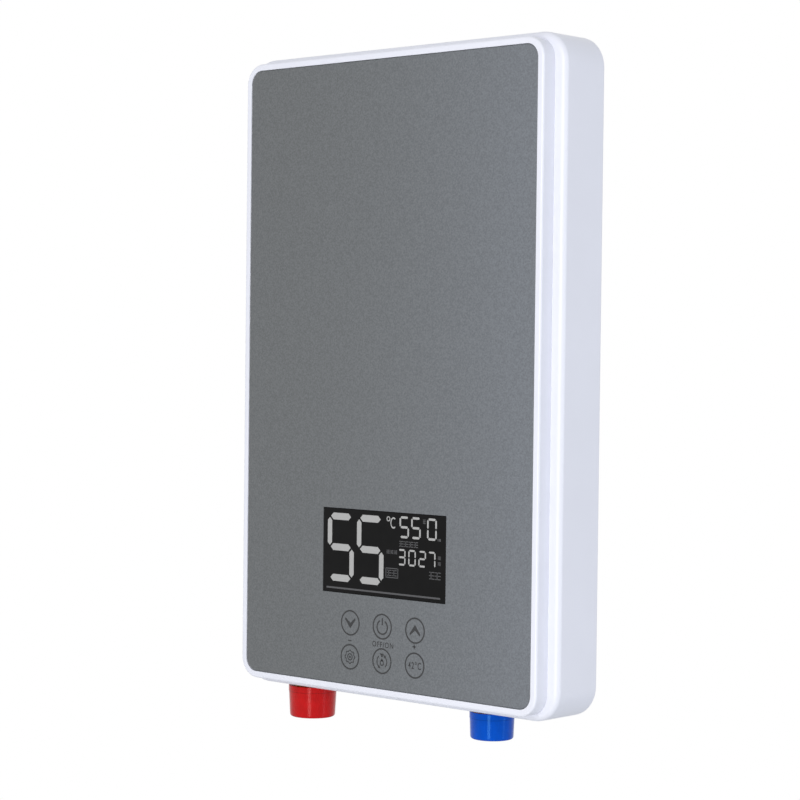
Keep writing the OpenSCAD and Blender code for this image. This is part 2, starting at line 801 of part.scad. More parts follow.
module inlet_filter() color("gainsboro") on_axis(inlet_x) difference() {
    union() {
        upright(mouth_z - filter_rim_t, mouth_z, thread_root_d);
        upright(mouth_z - filter_rim_t, mouth_z + filter_len, fitting_bore - 2 * run_gap);
    }
    upright(mouth_z - filter_rim_t - over, mouth_z + filter_len - over, fitting_bore - 2 * over);
    for (ring = [0:filter_rings], k = [0:max(6 * ring, 1) - 1])
        rotate(360 * k / max(6 * ring, 1)) translate([ring * filter_step, 0, 0])
            upright(mouth_z, mouth_z + filter_len + over, filter_hole_d);
}

// Flow sensor

module water_holes(from, to, ring_d, d) {
    for (k = [0:5])
        rotate(60 * k) translate([ring_d / 2, 0, 0]) upright(from, to, d);
}

module flow_body() color("ivory") on_axis(inlet_x) difference() {
    union() {
        upright(hex_top, flow_top, flow_d);
        spigot(flow_top, 1);
        translate([0, -hall_w / 2, hall_z]) cube([flow_d / 2 + over, hall_w, hall_h]);
    }
    upright(hex_top - over, socket_top, spigot_d + 2 * tube_gap);
    upright(socket_top - over, chamber_top, chamber_d);
    water_holes(chamber_top - over, chamber_top + guide_t + over, upper_ring_d, upper_hole_d);
    upright(chamber_top - over, chamber_top + guide_t + over, axle_d + 2 * run_gap);
    upright(chamber_top + guide_t, flow_top + spigot_len + over, fitting_bore);
    translate([0, 0, probe_z]) rotate([0, 90, 0]) cylinder(h = flow_d, d = probe_d + 2 * run_gap);
}

module flow_guide() color("white") on_axis(inlet_x) difference() {
    upright(socket_top, socket_top + guide_t, chamber_d - 4 * run_gap);
    upright(socket_top - over, socket_top + guide_t + over, axle_d + 2 * run_gap);
    water_holes(socket_top - over, socket_top + guide_t + over, lower_ring_d, lower_hole_d);
}

module flow_axle() color("silver") on_axis(inlet_x) upright(socket_top, chamber_top + guide_t, axle_d);

module flow_rotor() color("royalblue") on_axis(inlet_x) difference() {
    union() {
        upright(rotor_low, rotor_low + rotor_len, axle_d + 2 * hub_wall);
        upright(rotor_low + rotor_len - magnet_h, rotor_low + rotor_len, magnet_d);
        intersection() {
            upright(rotor_low, rotor_low + rotor_len - magnet_h / 2, chamber_d - 2 * rotor_gap);
            for (k = [0:blades - 1])
                rotate(360 * k / blades) translate([0, 0, rotor_low + (rotor_len - magnet_h) / 2])
                    rotate([blade_tilt, 0, 0]) translate([chamber_d / 4, 0, 0])
                        cube([chamber_d / 2, blade_t, rotor_len], center = true);
        }
    }
    upright(rotor_low - over, rotor_low + rotor_len + over, axle_d + 2 * run_gap);
}

module hall_sensor() color("black")
    translate([inlet_x + flow_d / 2 + over, -axis_depth - hall_w / 2, hall_z]) cube([hall_t, hall_w, hall_h]);

// A probe whose head seats on a wall, with its tip in the water
module probe(seat, reach, direction) {
    translate(seat) rotate([0, 90 * direction, 0]) {
        translate([0, 0, -reach]) cylinder(h = reach + over, d = probe_d);
        cylinder(h = probe_head_h, d = probe_head_d, $fn = 6);
    }
}

module hot_probe() color("peru")
    probe([outlet_x - head_d / 2, -axis_depth, channel_z], (head_d - rod_d) / 2 - over, -1);

module cold_probe() color("peru")
    probe([inlet_x + flow_d / 2, -axis_depth, probe_z], probe_len, 1);

// Heating columns

module column(x, from) {
    color("lightsteelblue") on_axis(x) difference() {
        upright(from, head_low, tube_d);
        upright(from - over, head_low + over, tube_d - 2 * tube_wall);
    }
}

module hot_tube() column(outlet_x, hex_top);

module cold_tube() column(inlet_x, flow_top);

module crossover_head() color("darkkhaki") difference() {
    union() {
        for (x = [outlet_x, inlet_x])
            on_axis(x) {
                upright(head_low, head_top, head_d);
                spigot(head_low, -1);
            }
        translate([outlet_x, -axis_depth - bar_d / 2, head_low]) cube([inlet_x - outlet_x, bar_d, head_h]);
    }
    for (x = [outlet_x, inlet_x])
        on_axis(x) {
            upright(head_low - spigot_len - over, channel_z + channel_d / 2, fitting_bore);
            upright(channel_z, head_top + over, plug_d + 2 * run_gap);
        }
    translate([outlet_x, -axis_depth, channel_z]) rotate([0, 90, 0])
        cylinder(h = inlet_x - outlet_x, d = channel_d);
    translate([outlet_x - head_d, -axis_depth, channel_z]) rotate([0, 90, 0])
        cylinder(h = head_d, d = probe_d + 2 * run_gap);
}

module element(x) {
    color("silver") on_axis(x) {
        upright(head_low - rod_len, channel_z + channel_d / 2, rod_d);
        upright(channel_z + channel_d / 2 - over, plug_low + over, plug_d);
        translate([0, 0, plug_low]) cylinder(h = collar_t, d = plug_af / cos(30), $fn = 6);
        upright(plug_low + collar_t - over, plug_low + collar_t + insulator_h, plug_d);
        upright(plug_low + collar_t, plug_low + collar_t + stud_h, stud_d);
    }
}

module hot_element() element(outlet_x);

module cold_element() element(inlet_x);

module element_seals() color("dimgray")
    for (x = [outlet_x, inlet_x])
        on_axis(x) difference() {
            upright(head_top, head_top + washer_t, plug_af - over);
            upright(head_top - over, head_top + washer_t + over, plug_d + 2 * run_gap);
        }

module tube_seals() color("dimgray") {
    seal(outlet_x, hex_top + spigot_len / 2);
    seal(inlet_x, hex_top + spigot_len / 2);
    seal(inlet_x, flow_top + spigot_len / 2);
    seal(outlet_x, head_low - spigot_len / 2);
    seal(inlet_x, head_low - spigot_len / 2);
}

module tube_clips() color("silver")
    for (x = [outlet_x, inlet_x], z = clip_zs)
        difference() {
            on_axis(x) translate([0, 0, z - clip_w / 2]) difference() {
                union() {
                    cylinder(h = clip_w, d = tube_d + 2 * fit_gap + 2 * clip_t);
                    translate([-clip_reach - clip_post_d / 2, -clip_t, 0])
                        cube([2 * clip_reach + clip_post_d, clip_t, clip_w]);
                }
                upright(-over, clip_w + over, tube_d + 2 * fit_gap);
                translate([-tube_d, 0, -over]) cube([2 * tube_d, tube_d, clip_w + 2 * over]);
            }
            for (s = sides)
                screw_hole(x + s * clip_reach, z, clip_front, -clip_t);
        }

module clip_screws() color("gainsboro")
    clip_places() screw(0, 0, clip_front, -short_screw_len);

// Switches on the columns

module heat_sink() color("silver") on_axis(inlet_x) difference() {
    translate([-tube_d / 2 - sink_back, -sink_w / 2, sink_z])
        cube([tube_d / 2 + sink_back + sink_reach, sink_w, sink_len]);
    upright(sink_z - over, sink_z + sink_len + over, tube_d + 2 * screw_gap);
}

module triacs() color("black")
    for (k = [0:1])
        translate([inlet_x + sink_reach, -axis_depth - triac_w / 2, sink_z + triac_margin + k * sink_len / 2])
            cube([triac_t, triac_w, triac_h]);

module cutout_saddle() color("silver") on_axis(outlet_x) difference() {
    translate([cutout_x - outlet_x, -sink_w / 2, cutout_z - cutout_d / 2])
        cube([outlet_x - cutout_x + tube_d / 2 + sink_back, sink_w, cutout_d]);
    upright(cutout_z - cutout_d, cutout_z + cutout_d, tube_d + 2 * screw_gap);
}

module thermal_cutout() color("saddlebrown") translate([cutout_x, -axis_depth, cutout_z]) difference() {
    union() {
        rotate([0, -90, 0]) cylinder(h = cutout_len, d = cutout_d);
        for (s = sides)
            translate([-blade_w - over, -blade_sheet / 2, s * cutout_d / 2 - blade_len / 2])
                cube([blade_w, blade_sheet, blade_len]);
    }
    translate([cutout_shell - cutout_len, 0, 0]) rotate([0, 90, 0])
        cylinder(h = cutout_len - 2 * cutout_shell, d = flange_d + 2 * flange_step);
    translate([-cutout_len - over, 0, 0]) rotate([0, 90, 0])
        cylinder(h = cutout_shell + 2 * over, d = button_d + 2 * run_gap);
}

module reset_button() color("firebrick")
    translate([cutout_x - cutout_len - button_reach, -axis_depth, cutout_z]) rotate([0, 90, 0]) {
        cylinder(h = button_reach + cutout_shell + flange_t + button_tail, d = button_d);
        translate([0, 0, button_reach + cutout_shell]) cylinder(h = flange_t, d = flange_d);
    }

// Power board

module power_board() color("seagreen") difference() {
    block(power_x + power_w / 2, power_z + power_h / 2, power_w, power_h, power_front - board_t, power_front);
    power_places() screw_hole(0, 0, power_front, -board_t);
}

module power_screws() color("silver")
    power_places() screw(0, 0, power_front, case_wall - power_front + 2 * over);

module relays() color("navy")
    for (k = [0:1])
        block(relay_x + k * relay_step, relay_z + relay_h / 2, relay_w, relay_h,
            power_front, power_front + relay_d);

module capacitors() color("black")
    for (k = [0:1])
        peg(power_x + can_x, power_z + can_up + k * can_step, power_front, power_front + can_h, can_d);

module transformer() color("gold")
    block(power_x + power_w - coil_former_in, power_z + power_h - coil_former_down,
        coil_former_w, coil_former_h, power_front, power_front + coil_former_d);

module leak_coil() color("darkgreen") translate([terminal_x, -wire_depth, power_z + coil_up]) difference() {
    union() {
        upright(0, coil_h, coil_d);
        translate([-coil_foot / 2, 0, 0]) cube([coil_foot, wire_depth - power_front, coil_h]);
    }
    upright(-over, coil_h + over, coil_hole_d);
}

// Supply

module terminal_places() {
    for (k = [-1:1])
        translate([terminal_x + k * terminal_step, 0, terminal_z]) children();
}

module terminal_block() color("ivory") difference() {
    block(terminal_x, terminal_z, 3 * terminal_step + 2 * terminal_margin, terminal_h,
        case_wall, terminal_front);
    terminal_places() peg(0, 0, well_seat, terminal_front + over, head_screw_d + 2 * well_gap);
    terminal_places() screw_hole(0, 0, well_seat, -short_screw_len);
}

module terminal_screws() color("goldenrod")
    terminal_places() screw(0, 0, well_seat, -short_screw_len);

module cable_grommet() color("dimgray") difference() {
    union() {
        peg(terminal_x, grommet_z, fit_gap, case_wall + over, grommet_d - 4 * run_gap);
        peg(terminal_x, grommet_z, case_wall, case_wall + grommet_flange_t, grommet_d + 2 * grommet_flange);
    }
    peg(terminal_x, grommet_z, -over, case_wall + grommet_flange_t + over, grommet_bore);
}

module supply_wires() color("saddlebrown")
    for (s = sides) {
        x = terminal_x + s * (wire_d + over) / 2;
        relay_foot = [terminal_x + s * relay_step / 2, -wire_depth, relay_z];
        start = [x, -(case_wall + terminal_front) / 2, terminal_z + terminal_h / 2];
        wire([start, start + [0, 0, wire_lead], [x, -wire_depth, power_z + coil_up - wire_lead],
            [x, -wire_depth, power_z + coil_up + coil_h + wire_lead / 2],
            relay_foot - [0, 0, wire_lead], relay_foot], wire_d);
    }

module element_wires() color("firebrick") {
    x = relay_x;
    front = axis_depth + bar_d / 2 + wire_d / 2 + fit_gap;
    hot_end = [outlet_x + stud_d / 2, -axis_depth, stud_z];
    wire([[x, -wire_depth, relay_z + relay_h], [x, -wire_depth, head_low - spigot_len - 3 * wire_lead],
        [x, -front, head_low - wire_lead], [x, -front, head_top], [x - wire_lead / 2, -front + 4, stud_z - 3],
        [x - 2 * wire_lead, -axis_depth - 2, stud_z], hot_end + [10, 0, 0], hot_end], wire_d);
    side_x = inlet_x + sink_reach + triac_t / 2;
    bow = clip_front + head_screw_h + wire_d;
    triac_top = sink_z + triac_margin + triac_h + sink_len / 2;
    cold_end = [inlet_x + stud_d / 2, -axis_depth, stud_z];
    wire([[side_x, -axis_depth, triac_top], [side_x, -axis_depth, triac_top + wire_lead],
        [side_x, -bow, triac_top + 3 * wire_lead], [side_x, -bow, head_low],
        [side_x + 1, -axis_depth - 3, head_top],
        [side_x - 2, -axis_depth, stud_z - 3], [side_x - 7, -axis_depth, stud_z], cold_end], wire_d);
}

module earth_wire() color("yellowgreen") {
    start = [terminal_x + terminal_step, -(case_wall + terminal_front) / 2, terminal_z + terminal_h / 2];
    end = [inlet_x - clip_reach, -clip_front - head_screw_h, clip_low];
    wire([start, start + [0, 0, wire_lead], start + [8, 0, 22],
        [end[0] - 9, start[1], clip_low - 2 * wire_lead],
        end + [-3, -7, -wire_lead], end + [0, -5, 0], end], wire_d);
}

module ribbon_cable() color("lightgray")
translate([ribbon_x, 0, 0]) rotate([90, 0, 90]) linear_extrude(ribbon_w) {
    low = board_top - ribbon_plug_h / 2 - over;
    high = power_z + ribbon_plug_h / 2 + 3 * over;
    low_face = ribbon_plug_t - board_back;
    high_face = -power_front - ribbon_plug_t;
    translate([-board_back, low - ribbon_plug_h / 2]) square([ribbon_plug_t, ribbon_plug_h]);
    translate([high_face, high - ribbon_plug_h / 2]) square([ribbon_plug_t, ribbon_plug_h]);
    polygon([[low_face - ribbon_t, low], [low_face, low], [high_face + over + ribbon_t, high],
        [high_face + over, high]]);
}

module cover_screws() color("silver")
    for (sx = sides, sz = sides)
        screw(sx * post_x, sz * post_z, head_seat, cover_screw_len);

// Caps

module cap(x, d, draft, gap, reach, tint) {
    top = base_z - gap;
    low = base_z - reach;
    body_r = d / 2 - collar_step;
    base_r = body_r - draft;
    bore_r = thread_d / 2 + cap_fit;
    section = concat([[bore_r, top], [d / 2, top], [d / 2, top - collar_h], [body_r, top - collar_h]],
        arc(base_r - cap_round, low + cap_round, cap_round, 0, -90, 5),
        [[0, low], [0, low + cap_floor], [bore_r, low + cap_floor]]);
    color(tint) on_axis(x) rotate_extrude() polygon(section);
}

module red_cap() cap(outlet_x, red_cap_d, red_cap_draft, red_cap_gap, red_cap_reach, "crimson");

module blue_cap() cap(inlet_x, blue_cap_d, blue_cap_draft, blue_cap_gap, blue_cap_reach, "mediumblue");

rear_housing();
back_plate();
inner_posts();
left_hanger();
right_hanger();
front_cover();
glass_panel();
display_lens();
panel_tape();
lcd_module();
control_board();
touch_pads();
control_screws();
outlet_fitting();
inlet_fitting();
inlet_filter();
flow_body();
flow_guide();
flow_axle();
flow_rotor();
hall_sensor();
hot_tube();
cold_tube();
crossover_head();
hot_element();
cold_element();
element_seals();
tube_seals();
tube_clips();
clip_screws();
heat_sink();
triacs();
cutout_saddle();
thermal_cutout();
reset_button();
hot_probe();
cold_probe();
power_board();
relays();
capacitors();
transformer();
leak_coil();
power_screws();
terminal_block();
terminal_screws();
cable_grommet();
supply_wires();
element_wires();
earth_wire();
ribbon_cable();
cover_screws();
red_cap();
blue_cap();
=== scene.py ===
# %% [markdown]
# # Instant electric water heater
# The heater is a flat white case for a bathroom wall, with a grey glass front and two capped water
# connections below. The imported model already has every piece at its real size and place. This lesson loads
# that model as a fixed frame, rebuilds the pieces that show with softer edges and finer details, and gives
# every other piece a finish of its own. All lengths are in metres, and X runs to the right seen from the
# front, Y into the wall, Z up.

import json
import math

import bmesh
import bpy
from mathutils import Matrix, Vector


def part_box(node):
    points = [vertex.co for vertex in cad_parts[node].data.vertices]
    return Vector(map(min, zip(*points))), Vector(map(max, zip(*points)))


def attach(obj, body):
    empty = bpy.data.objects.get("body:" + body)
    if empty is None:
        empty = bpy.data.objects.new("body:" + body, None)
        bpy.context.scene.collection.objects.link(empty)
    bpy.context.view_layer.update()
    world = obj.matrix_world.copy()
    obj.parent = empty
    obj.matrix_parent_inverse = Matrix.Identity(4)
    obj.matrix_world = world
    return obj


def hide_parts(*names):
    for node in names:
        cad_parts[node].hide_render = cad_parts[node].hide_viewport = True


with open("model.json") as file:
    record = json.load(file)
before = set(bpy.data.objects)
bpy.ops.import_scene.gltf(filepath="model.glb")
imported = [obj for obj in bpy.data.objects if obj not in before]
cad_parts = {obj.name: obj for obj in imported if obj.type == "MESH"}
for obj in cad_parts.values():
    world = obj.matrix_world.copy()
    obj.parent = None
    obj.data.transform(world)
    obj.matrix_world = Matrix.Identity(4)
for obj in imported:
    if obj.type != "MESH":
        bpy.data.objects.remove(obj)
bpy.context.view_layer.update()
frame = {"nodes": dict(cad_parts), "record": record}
scene = bpy.context.scene
MM = 0.001

# %% [markdown]
# The photograph was taken with a long lens from the right, at the height of the heater. A camera could be
# aimed with a Track To constraint, but three angles and one place say the same in plain numbers, and they
# also allow the small roll of a camera held by hand.

# %% Camera
CAMERA_PLACE = Vector((0.79349, -0.90495, 0.01370))
CAMERA_TURN = math.radians(42.124)
CAMERA_PITCH = math.radians(-1.304)
CAMERA_ROLL = math.radians(0.649)
LENS = 102.8
SENSOR = 36

ahead = Vector((-math.sin(CAMERA_TURN) * math.cos(CAMERA_PITCH),
                math.cos(CAMERA_TURN) * math.cos(CAMERA_PITCH), math.sin(CAMERA_PITCH)))
level = Vector((math.cos(CAMERA_TURN), math.sin(CAMERA_TURN), 0))
above = level.cross(ahead)
right = level * math.cos(CAMERA_ROLL) + above * math.sin(CAMERA_ROLL)
up = above * math.cos(CAMERA_ROLL) - level * math.sin(CAMERA_ROLL)
lens_data = bpy.data.cameras.new("photo_camera")
lens_data.lens = LENS
lens_data.sensor_width = SENSOR
camera = bpy.data.objects.new("photo_camera", lens_data)
camera.matrix_world = Matrix.Translation(CAMERA_PLACE) @ Matrix((right, up, -ahead)).transposed().to_4x4()
scene.collection.objects.link(camera)
scene.camera = camera
scene.view_settings.view_transform = "Standard"

# %% [markdown]
# A finish is a tree of shader nodes. Wiring dozens of Math nodes by hand hides the idea, so one small class
# wraps a node's output: adding, subtracting or multiplying in Python adds the Math node and its links. Its
# method node() makes every other kind of node, and sets the node's own fields before its sockets.

# %% Shader wires
class Wire:
    """One output in a node tree. Arithmetic on it adds Math nodes."""

    def __init__(self, tree, output=None):
        self.tree = tree
        self.output = output

    def node(self, kind, settings=None, sockets=None, output=0):
        made = self.tree.nodes.new(kind)
        for field, value in (settings or {}).items():
            setattr(made, field, value)
        for key, value in (sockets or {}).items():
            if isinstance(value, Wire):
                self.tree.links.new(value.output, made.inputs[key])
            else:
                made.inputs[key].default_value = value
        return Wire(self.tree, made.outputs[output] if len(made.outputs) else None)

    def math(self, operation, first, second):
        return self.node("ShaderNodeMath", {"operation": operation}, {0: first, 1: second})

    def __add__(self, other):
        return self.math("ADD", self, other)

    def __sub__(self, other):
        return self.math("SUBTRACT", self, other)

    def __rsub__(self, other):
        return self.math("SUBTRACT", other, self)

    def __mul__(self, other):
        return self.math("MULTIPLY", self, other)

    __radd__ = __add__
    __rmul__ = __mul__


def new_wire(data):
    """Clears the nodes of a material or a world and returns a wire to build on."""
    data.use_nodes = True
    data.node_tree.nodes.clear()
    return Wire(data.node_tree)


def new_finish(name):
    """A new material, and a wire to build its nodes on."""
    finish = bpy.data.materials.new(name)
    return finish, new_wire(finish)


def spot_on(wire):
    """The place on the piece, in metres."""
    return wire.node("ShaderNodeTexCoord", output="Object")


print("wire class ready")

# %% [markdown]
# The studio is white all round, so what the camera and the shiny surfaces see of the world is plain white.
# The light that falls on the heater is softer than that: less than white from everywhere, one tall soft box
# in front and a little to the right, and a weak bluish one far to the right that cools the side. Both reach
# well below the heater, because a round cap only shows a lamp as an upright streak if the lamp is tall.

# %% World and lamps
WHITE = (1, 1, 1, 1)
WORLD_LIGHT = 0.56
WORLD_TINT = (0.97, 0.985, 1, 1)
SOFT_BOXES = [
    {"name": "key_box", "turn": 25, "rise": 4, "reach": 1.5, "size": (0.36, 1.7), "power": 14.6,
     "colour": (1, 0.99, 0.97)},
    {"name": "side_box", "turn": 103, "rise": 0, "reach": 1.6, "size": (0.3, 1.6), "power": 3.0,
     "colour": (0.72, 0.82, 1)},
]

scene.world = bpy.data.worlds.new("white_studio")
sky = new_wire(scene.world)
seen = sky.node("ShaderNodeLightPath", output="Is Camera Ray")
mirrored = sky.node("ShaderNodeLightPath", output="Is Glossy Ray")
through = sky.node("ShaderNodeLightPath", output="Is Transmission Ray")
lighting = sky.node("ShaderNodeBackground", sockets={"Color": WORLD_TINT, "Strength": WORLD_LIGHT})
backdrop = sky.node("ShaderNodeBackground", sockets={"Color": WHITE, "Strength": 1})
direct = sky.math("MAXIMUM", seen, sky.math("MAXIMUM", mirrored, through))
mixed = sky.node("ShaderNodeMixShader", sockets={0: direct, 1: lighting, 2: backdrop})
sky.node("ShaderNodeOutputWorld", sockets={"Surface": mixed})

for box in SOFT_BOXES:
    turn, rise = math.radians(box["turn"]), math.radians(box["rise"])
    towards = Vector((math.sin(turn) * math.cos(rise), -math.cos(turn) * math.cos(rise), math.sin(rise)))
    lamp_data = bpy.data.lights.new(box["name"], "AREA")
    lamp_data.shape = "RECTANGLE"
    lamp_data.size, lamp_data.size_y = box["size"]
    lamp_data.energy = box["power"]
    lamp_data.color = box["colour"]
    lamp = bpy.data.objects.new(box["name"], lamp_data)
    lamp.location = towards * box["reach"]
    lamp.rotation_euler = towards.to_track_quat("Z", "Y").to_euler()
    scene.collection.objects.link(lamp)
print("lamps:", [box["name"] for box in SOFT_BOXES])

# %% [markdown]
# The heater hangs on a wall about a metre above the floor. The floor is a pale disc down there. A square
# would do, but a disc can fade out evenly towards its edge, so that it has no hard line in a view from above.

# %% Floor
FLOOR_DROP = 0.9
FLOOR_RADIUS = 2.4
FADE_START = 0.5 * FLOOR_RADIUS
FLOOR_TONE = (0.86, 0.87, 0.88, 1)
FLOOR_GLOW = 0.6
FLOOR_STEPS = 96

floor_mesh = bmesh.new()
bmesh.ops.create_circle(floor_mesh, cap_ends=True, segments=FLOOR_STEPS, radius=FLOOR_RADIUS,
                        matrix=Matrix.Translation((0, 0, -FLOOR_DROP)))
floor_data = bpy.data.meshes.new("floor")
floor_mesh.to_mesh(floor_data)
floor_mesh.free()
floor = bpy.data.objects.new("floor", floor_data)
scene.collection.objects.link(floor)

floor_finish, ground = new_finish("pale_floor")
flat_spot = ground.node("ShaderNodeVectorMath", {"operation": "MULTIPLY"},
                        {0: spot_on(ground), 1: (1, 1, 0)})
far = ground.node("ShaderNodeVectorMath", {"operation": "LENGTH"}, {0: flat_spot}, output="Value")
fade = ground.node("ShaderNodeMapRange", {"interpolation_type": "SMOOTHSTEP"},
                   {"Value": far, "From Min": FADE_START, "From Max": FLOOR_RADIUS})
seen = ground.node("ShaderNodeLightPath", output="Is Camera Ray")
lit = ground.node("ShaderNodeBsdfDiffuse", sockets={"Color": FLOOR_TONE})
pale = ground.node("ShaderNodeEmission", sockets={"Color": WHITE, "Strength": 1})
clear = ground.node("ShaderNodeBsdfTransparent")
surface = ground.node("ShaderNodeMixShader", sockets={0: seen * FLOOR_GLOW, 1: lit, 2: pale})
surface = ground.node("ShaderNodeMixShader", sockets={0: fade, 1: surface, 2: clear})
ground.node("ShaderNodeOutputMaterial", sockets={"Surface": surface})
floor.data.materials.append(floor_finish)
print("floor", FLOOR_DROP, "m below the middle of the heater")

# %% [markdown]
# Most pieces are moulded plastic, drawn metal or rubber. Each of these finishes has the same skeleton: a
# slow change of tone over centimetres, a fine change of gloss over millimetres, and a shallow relief. So a
# few small functions make the skeleton, and each finish says only what is special about it. The numbers that
# stay the same over a surface are set straight on the shader.

# %% Parts of a finish
NOISE_LOW, NOISE_HIGH = 0.3, 0.7


def grain(wire, size, detail=2.0, stretch=(1, 1, 1)):
    """Noise from 0 to 1 with blotches of about this size, fixed to the piece."""
    place = wire.node("ShaderNodeMapping", sockets={"Vector": spot_on(wire), "Scale": stretch})
    return wire.node("ShaderNodeTexNoise", sockets={"Vector": place, "Scale": 1 / size, "Detail": detail})


def spread(wire, value, low, high):
    """Stretches the middle of a noise to a range of its own."""
    return wire.node("ShaderNodeMapRange", sockets={"Value": value, "From Min": NOISE_LOW,
                                                    "From Max": NOISE_HIGH, "To Min": low, "To Max": high})


def two_tone(wire, share, first, second):
    """A colour between two, each given as red, green and blue."""
    return wire.node("ShaderNodeMix", {"data_type": "RGBA"},
                     {0: share, 6: (*first, 1), 7: (*second, 1)}, output=2)


def shade(colour, factor):
    """The same colour, lighter or darker."""
    return tuple(min(1.0, part * factor) for part in colour)


def close_finish(wire, colour, roughness, height=None, relief=0.0, fixed=None):
    """Joins the parts of a finish in one shader. Relief is the height of the pattern in metres."""
    sockets = {"Base Color": colour, "Roughness": roughness, **(fixed or {})}
    if height is not None:
        sockets["Normal"] = wire.node("ShaderNodeBump", sockets={"Height": height, "Strength": 1,
                                                                 "Distance": relief})
    shader = wire.node("ShaderNodeBsdfPrincipled", sockets=sockets)
    wire.node("ShaderNodeOutputMaterial", sockets={"Surface": shader})


print("finish helpers ready")

# %% [markdown]
# Two kinds of finish come back again and again. Moulded plastic drifts in tone over some centimetres and has
# a skin like fine leather. Drawn or turned metal has streaks along one direction and a little tarnish. The
# streaks could be a picture, but a noise that is stretched along one axis needs no file.

# %% Moulded plastic and metal
PLASTIC_DRIFT = 35 * MM
GLOSS_PLAY = 0.05
TARNISH = 9 * MM
TARNISH_SHADE = 0.86
STREAK = 0.5 * MM
STREAK_STRETCH = (1, 1, 0.06)
STREAK_GLOSS = (-0.08, 0.1)
STREAK_HEIGHT = 0.002 * MM


def moulded(name, colour, gloss, texture=0.6 * MM, relief=0.004 * MM, drift=0.05):
    """Moulded plastic: slow drift of tone, fine change of gloss, a skin like fine leather."""
    finish, wire = new_finish(name)
    tone = two_tone(wire, spread(wire, grain(wire, PLASTIC_DRIFT), 0, 1), shade(colour, 1 - drift),
                    shade(colour, 1 + drift))
    skin = grain(wire, texture, detail=3)
    gloss_play = spread(wire, skin, gloss - GLOSS_PLAY, gloss + GLOSS_PLAY)
    close_finish(wire, tone, gloss_play, skin, relief)
    return finish


def metal(name, colour, gloss):
    """Drawn or turned metal: streaks along one direction and a little tarnish."""
    finish, wire = new_finish(name)
    tarnish = spread(wire, grain(wire, TARNISH, detail=4), 0, 1)
    streaks = grain(wire, STREAK, stretch=STREAK_STRETCH)
    tone = two_tone(wire, tarnish, shade(colour, TARNISH_SHADE), colour)
    gloss_play = spread(wire, streaks, gloss + STREAK_GLOSS[0], gloss + STREAK_GLOSS[1])
    close_finish(wire, tone, gloss_play, streaks, STREAK_HEIGHT, {"Metallic": 1})
    return finish


print("plastic and metal ready")

# %% [markdown]
# The case is white plastic with a satin shine. Its skin isn't a mirror: a very shallow waviness breaks up
# the reflections, and the white is a little cold. Mixing the tone by a noise keeps large faces from looking
# computed.

# %% White case plastic
white_plastic = moulded("white_plastic", colour=(0.765, 0.78, 0.865), gloss=0.34, texture=0.9 * MM,
                        relief=0.003 * MM, drift=0.012)
print("made", white_plastic.name)

# %% [markdown]
# The front is a sheet of glass with a grey metallic print behind it. The print is a screen of tiny flakes,
# so close up it is speckled. Its colour also grows lighter and bluer towards the right, which is a painted
# reflection of the studio in the glass. The glass could be made see-through with the print as a second sheet
# behind it, but an opaque sheet with a soft shine looks the same from every side and keeps its pattern when
# the model is exported.

# %% Grey printed glass
GLASS_PRINT_TONE = (0.129, 0.136, 0.142)
GLASS_PAINTED_REFLECTION_TONE = (0.159, 0.172, 0.192)
PAINTED_REFLECTION_FROM, PAINTED_REFLECTION_TO = -100 * MM, 90 * MM
FLAKE_SIZE = 0.8 * MM
FLAKE_TONES = (0.84, 1.16)
GLASS_PATCH = 25 * MM
GLASS_GLOSS = (0.25, 0.27)
GLASS_SPECULAR = 0.28

panel_glass, wire = new_finish("panel_glass")
# Painted reflection: the colour is mixed from the print's own tone at the left to a lighter, bluer tone at
# the right.
sideways = wire.node("ShaderNodeSeparateXYZ", sockets={"Vector": spot_on(wire)}, output="X")
across = wire.node("ShaderNodeMapRange", sockets={"Value": sideways, "From Min": PAINTED_REFLECTION_FROM,
                                                  "From Max": PAINTED_REFLECTION_TO})
drift = two_tone(wire, across * across, GLASS_PRINT_TONE, GLASS_PAINTED_REFLECTION_TONE)
flakes = spread(wire, grain(wire, FLAKE_SIZE), *FLAKE_TONES)
print_and_reflection_tone = wire.node("ShaderNodeVectorMath", {"operation": "SCALE"}, {0: drift, "Scale": flakes})
close_finish(wire, print_and_reflection_tone, spread(wire, grain(wire, GLASS_PATCH), *GLASS_GLOSS),
             fixed={"Specular IOR Level": GLASS_SPECULAR})
print("made", panel_glass.name)

# %% [markdown]
# The display is a black window. The liquid crystal behind it shows pale bars and, where a bar is off, a trace
# of it. A black surface shows every reflection of a white studio, so its specular level is kept low, as on a
# window with an anti-glare coat.

# %% Display finishes
LENS_DARK = (0.0012, 0.0012, 0.0014)
LENS_PALE = (0.0026, 0.0026, 0.0028)
LENS_PATCH = 6 * MM
LENS_GRAIN = 0.3 * MM
LENS_GLOSS = (0.16, 0.24)
LENS_SPECULAR = 0.12
CELL = 0.25 * MM
CELL_TONES = (0.92, 1.05)
CELL_GLOSS = (0.4, 0.5)
CELL_SPECULAR = 0.15
CELL_GLOW = 0.1

black_lens, wire = new_finish("black_lens")
depth_tone = two_tone(wire, spread(wire, grain(wire, LENS_PATCH, detail=3), 0, 1), LENS_DARK, LENS_PALE)
close_finish(wire, depth_tone, spread(wire, grain(wire, LENS_GRAIN), *LENS_GLOSS),
             fixed={"Specular IOR Level": LENS_SPECULAR})


def crystal(name, colour):
    """Pale bars of a liquid crystal: tiny rows of cells and a weak light of their own."""
    finish, wire = new_finish(name)
    spots = spread(wire, grain(wire, CELL, detail=1), 0, 1)
    tone = two_tone(wire, spots, shade(colour, CELL_TONES[0]), shade(colour, CELL_TONES[1]))
    close_finish(wire, tone, spread(wire, spots, *CELL_GLOSS),
                 fixed={"Specular IOR Level": CELL_SPECULAR, "Emission Color": (*colour, 1),
                        "Emission Strength": CELL_GLOW})
    return finish


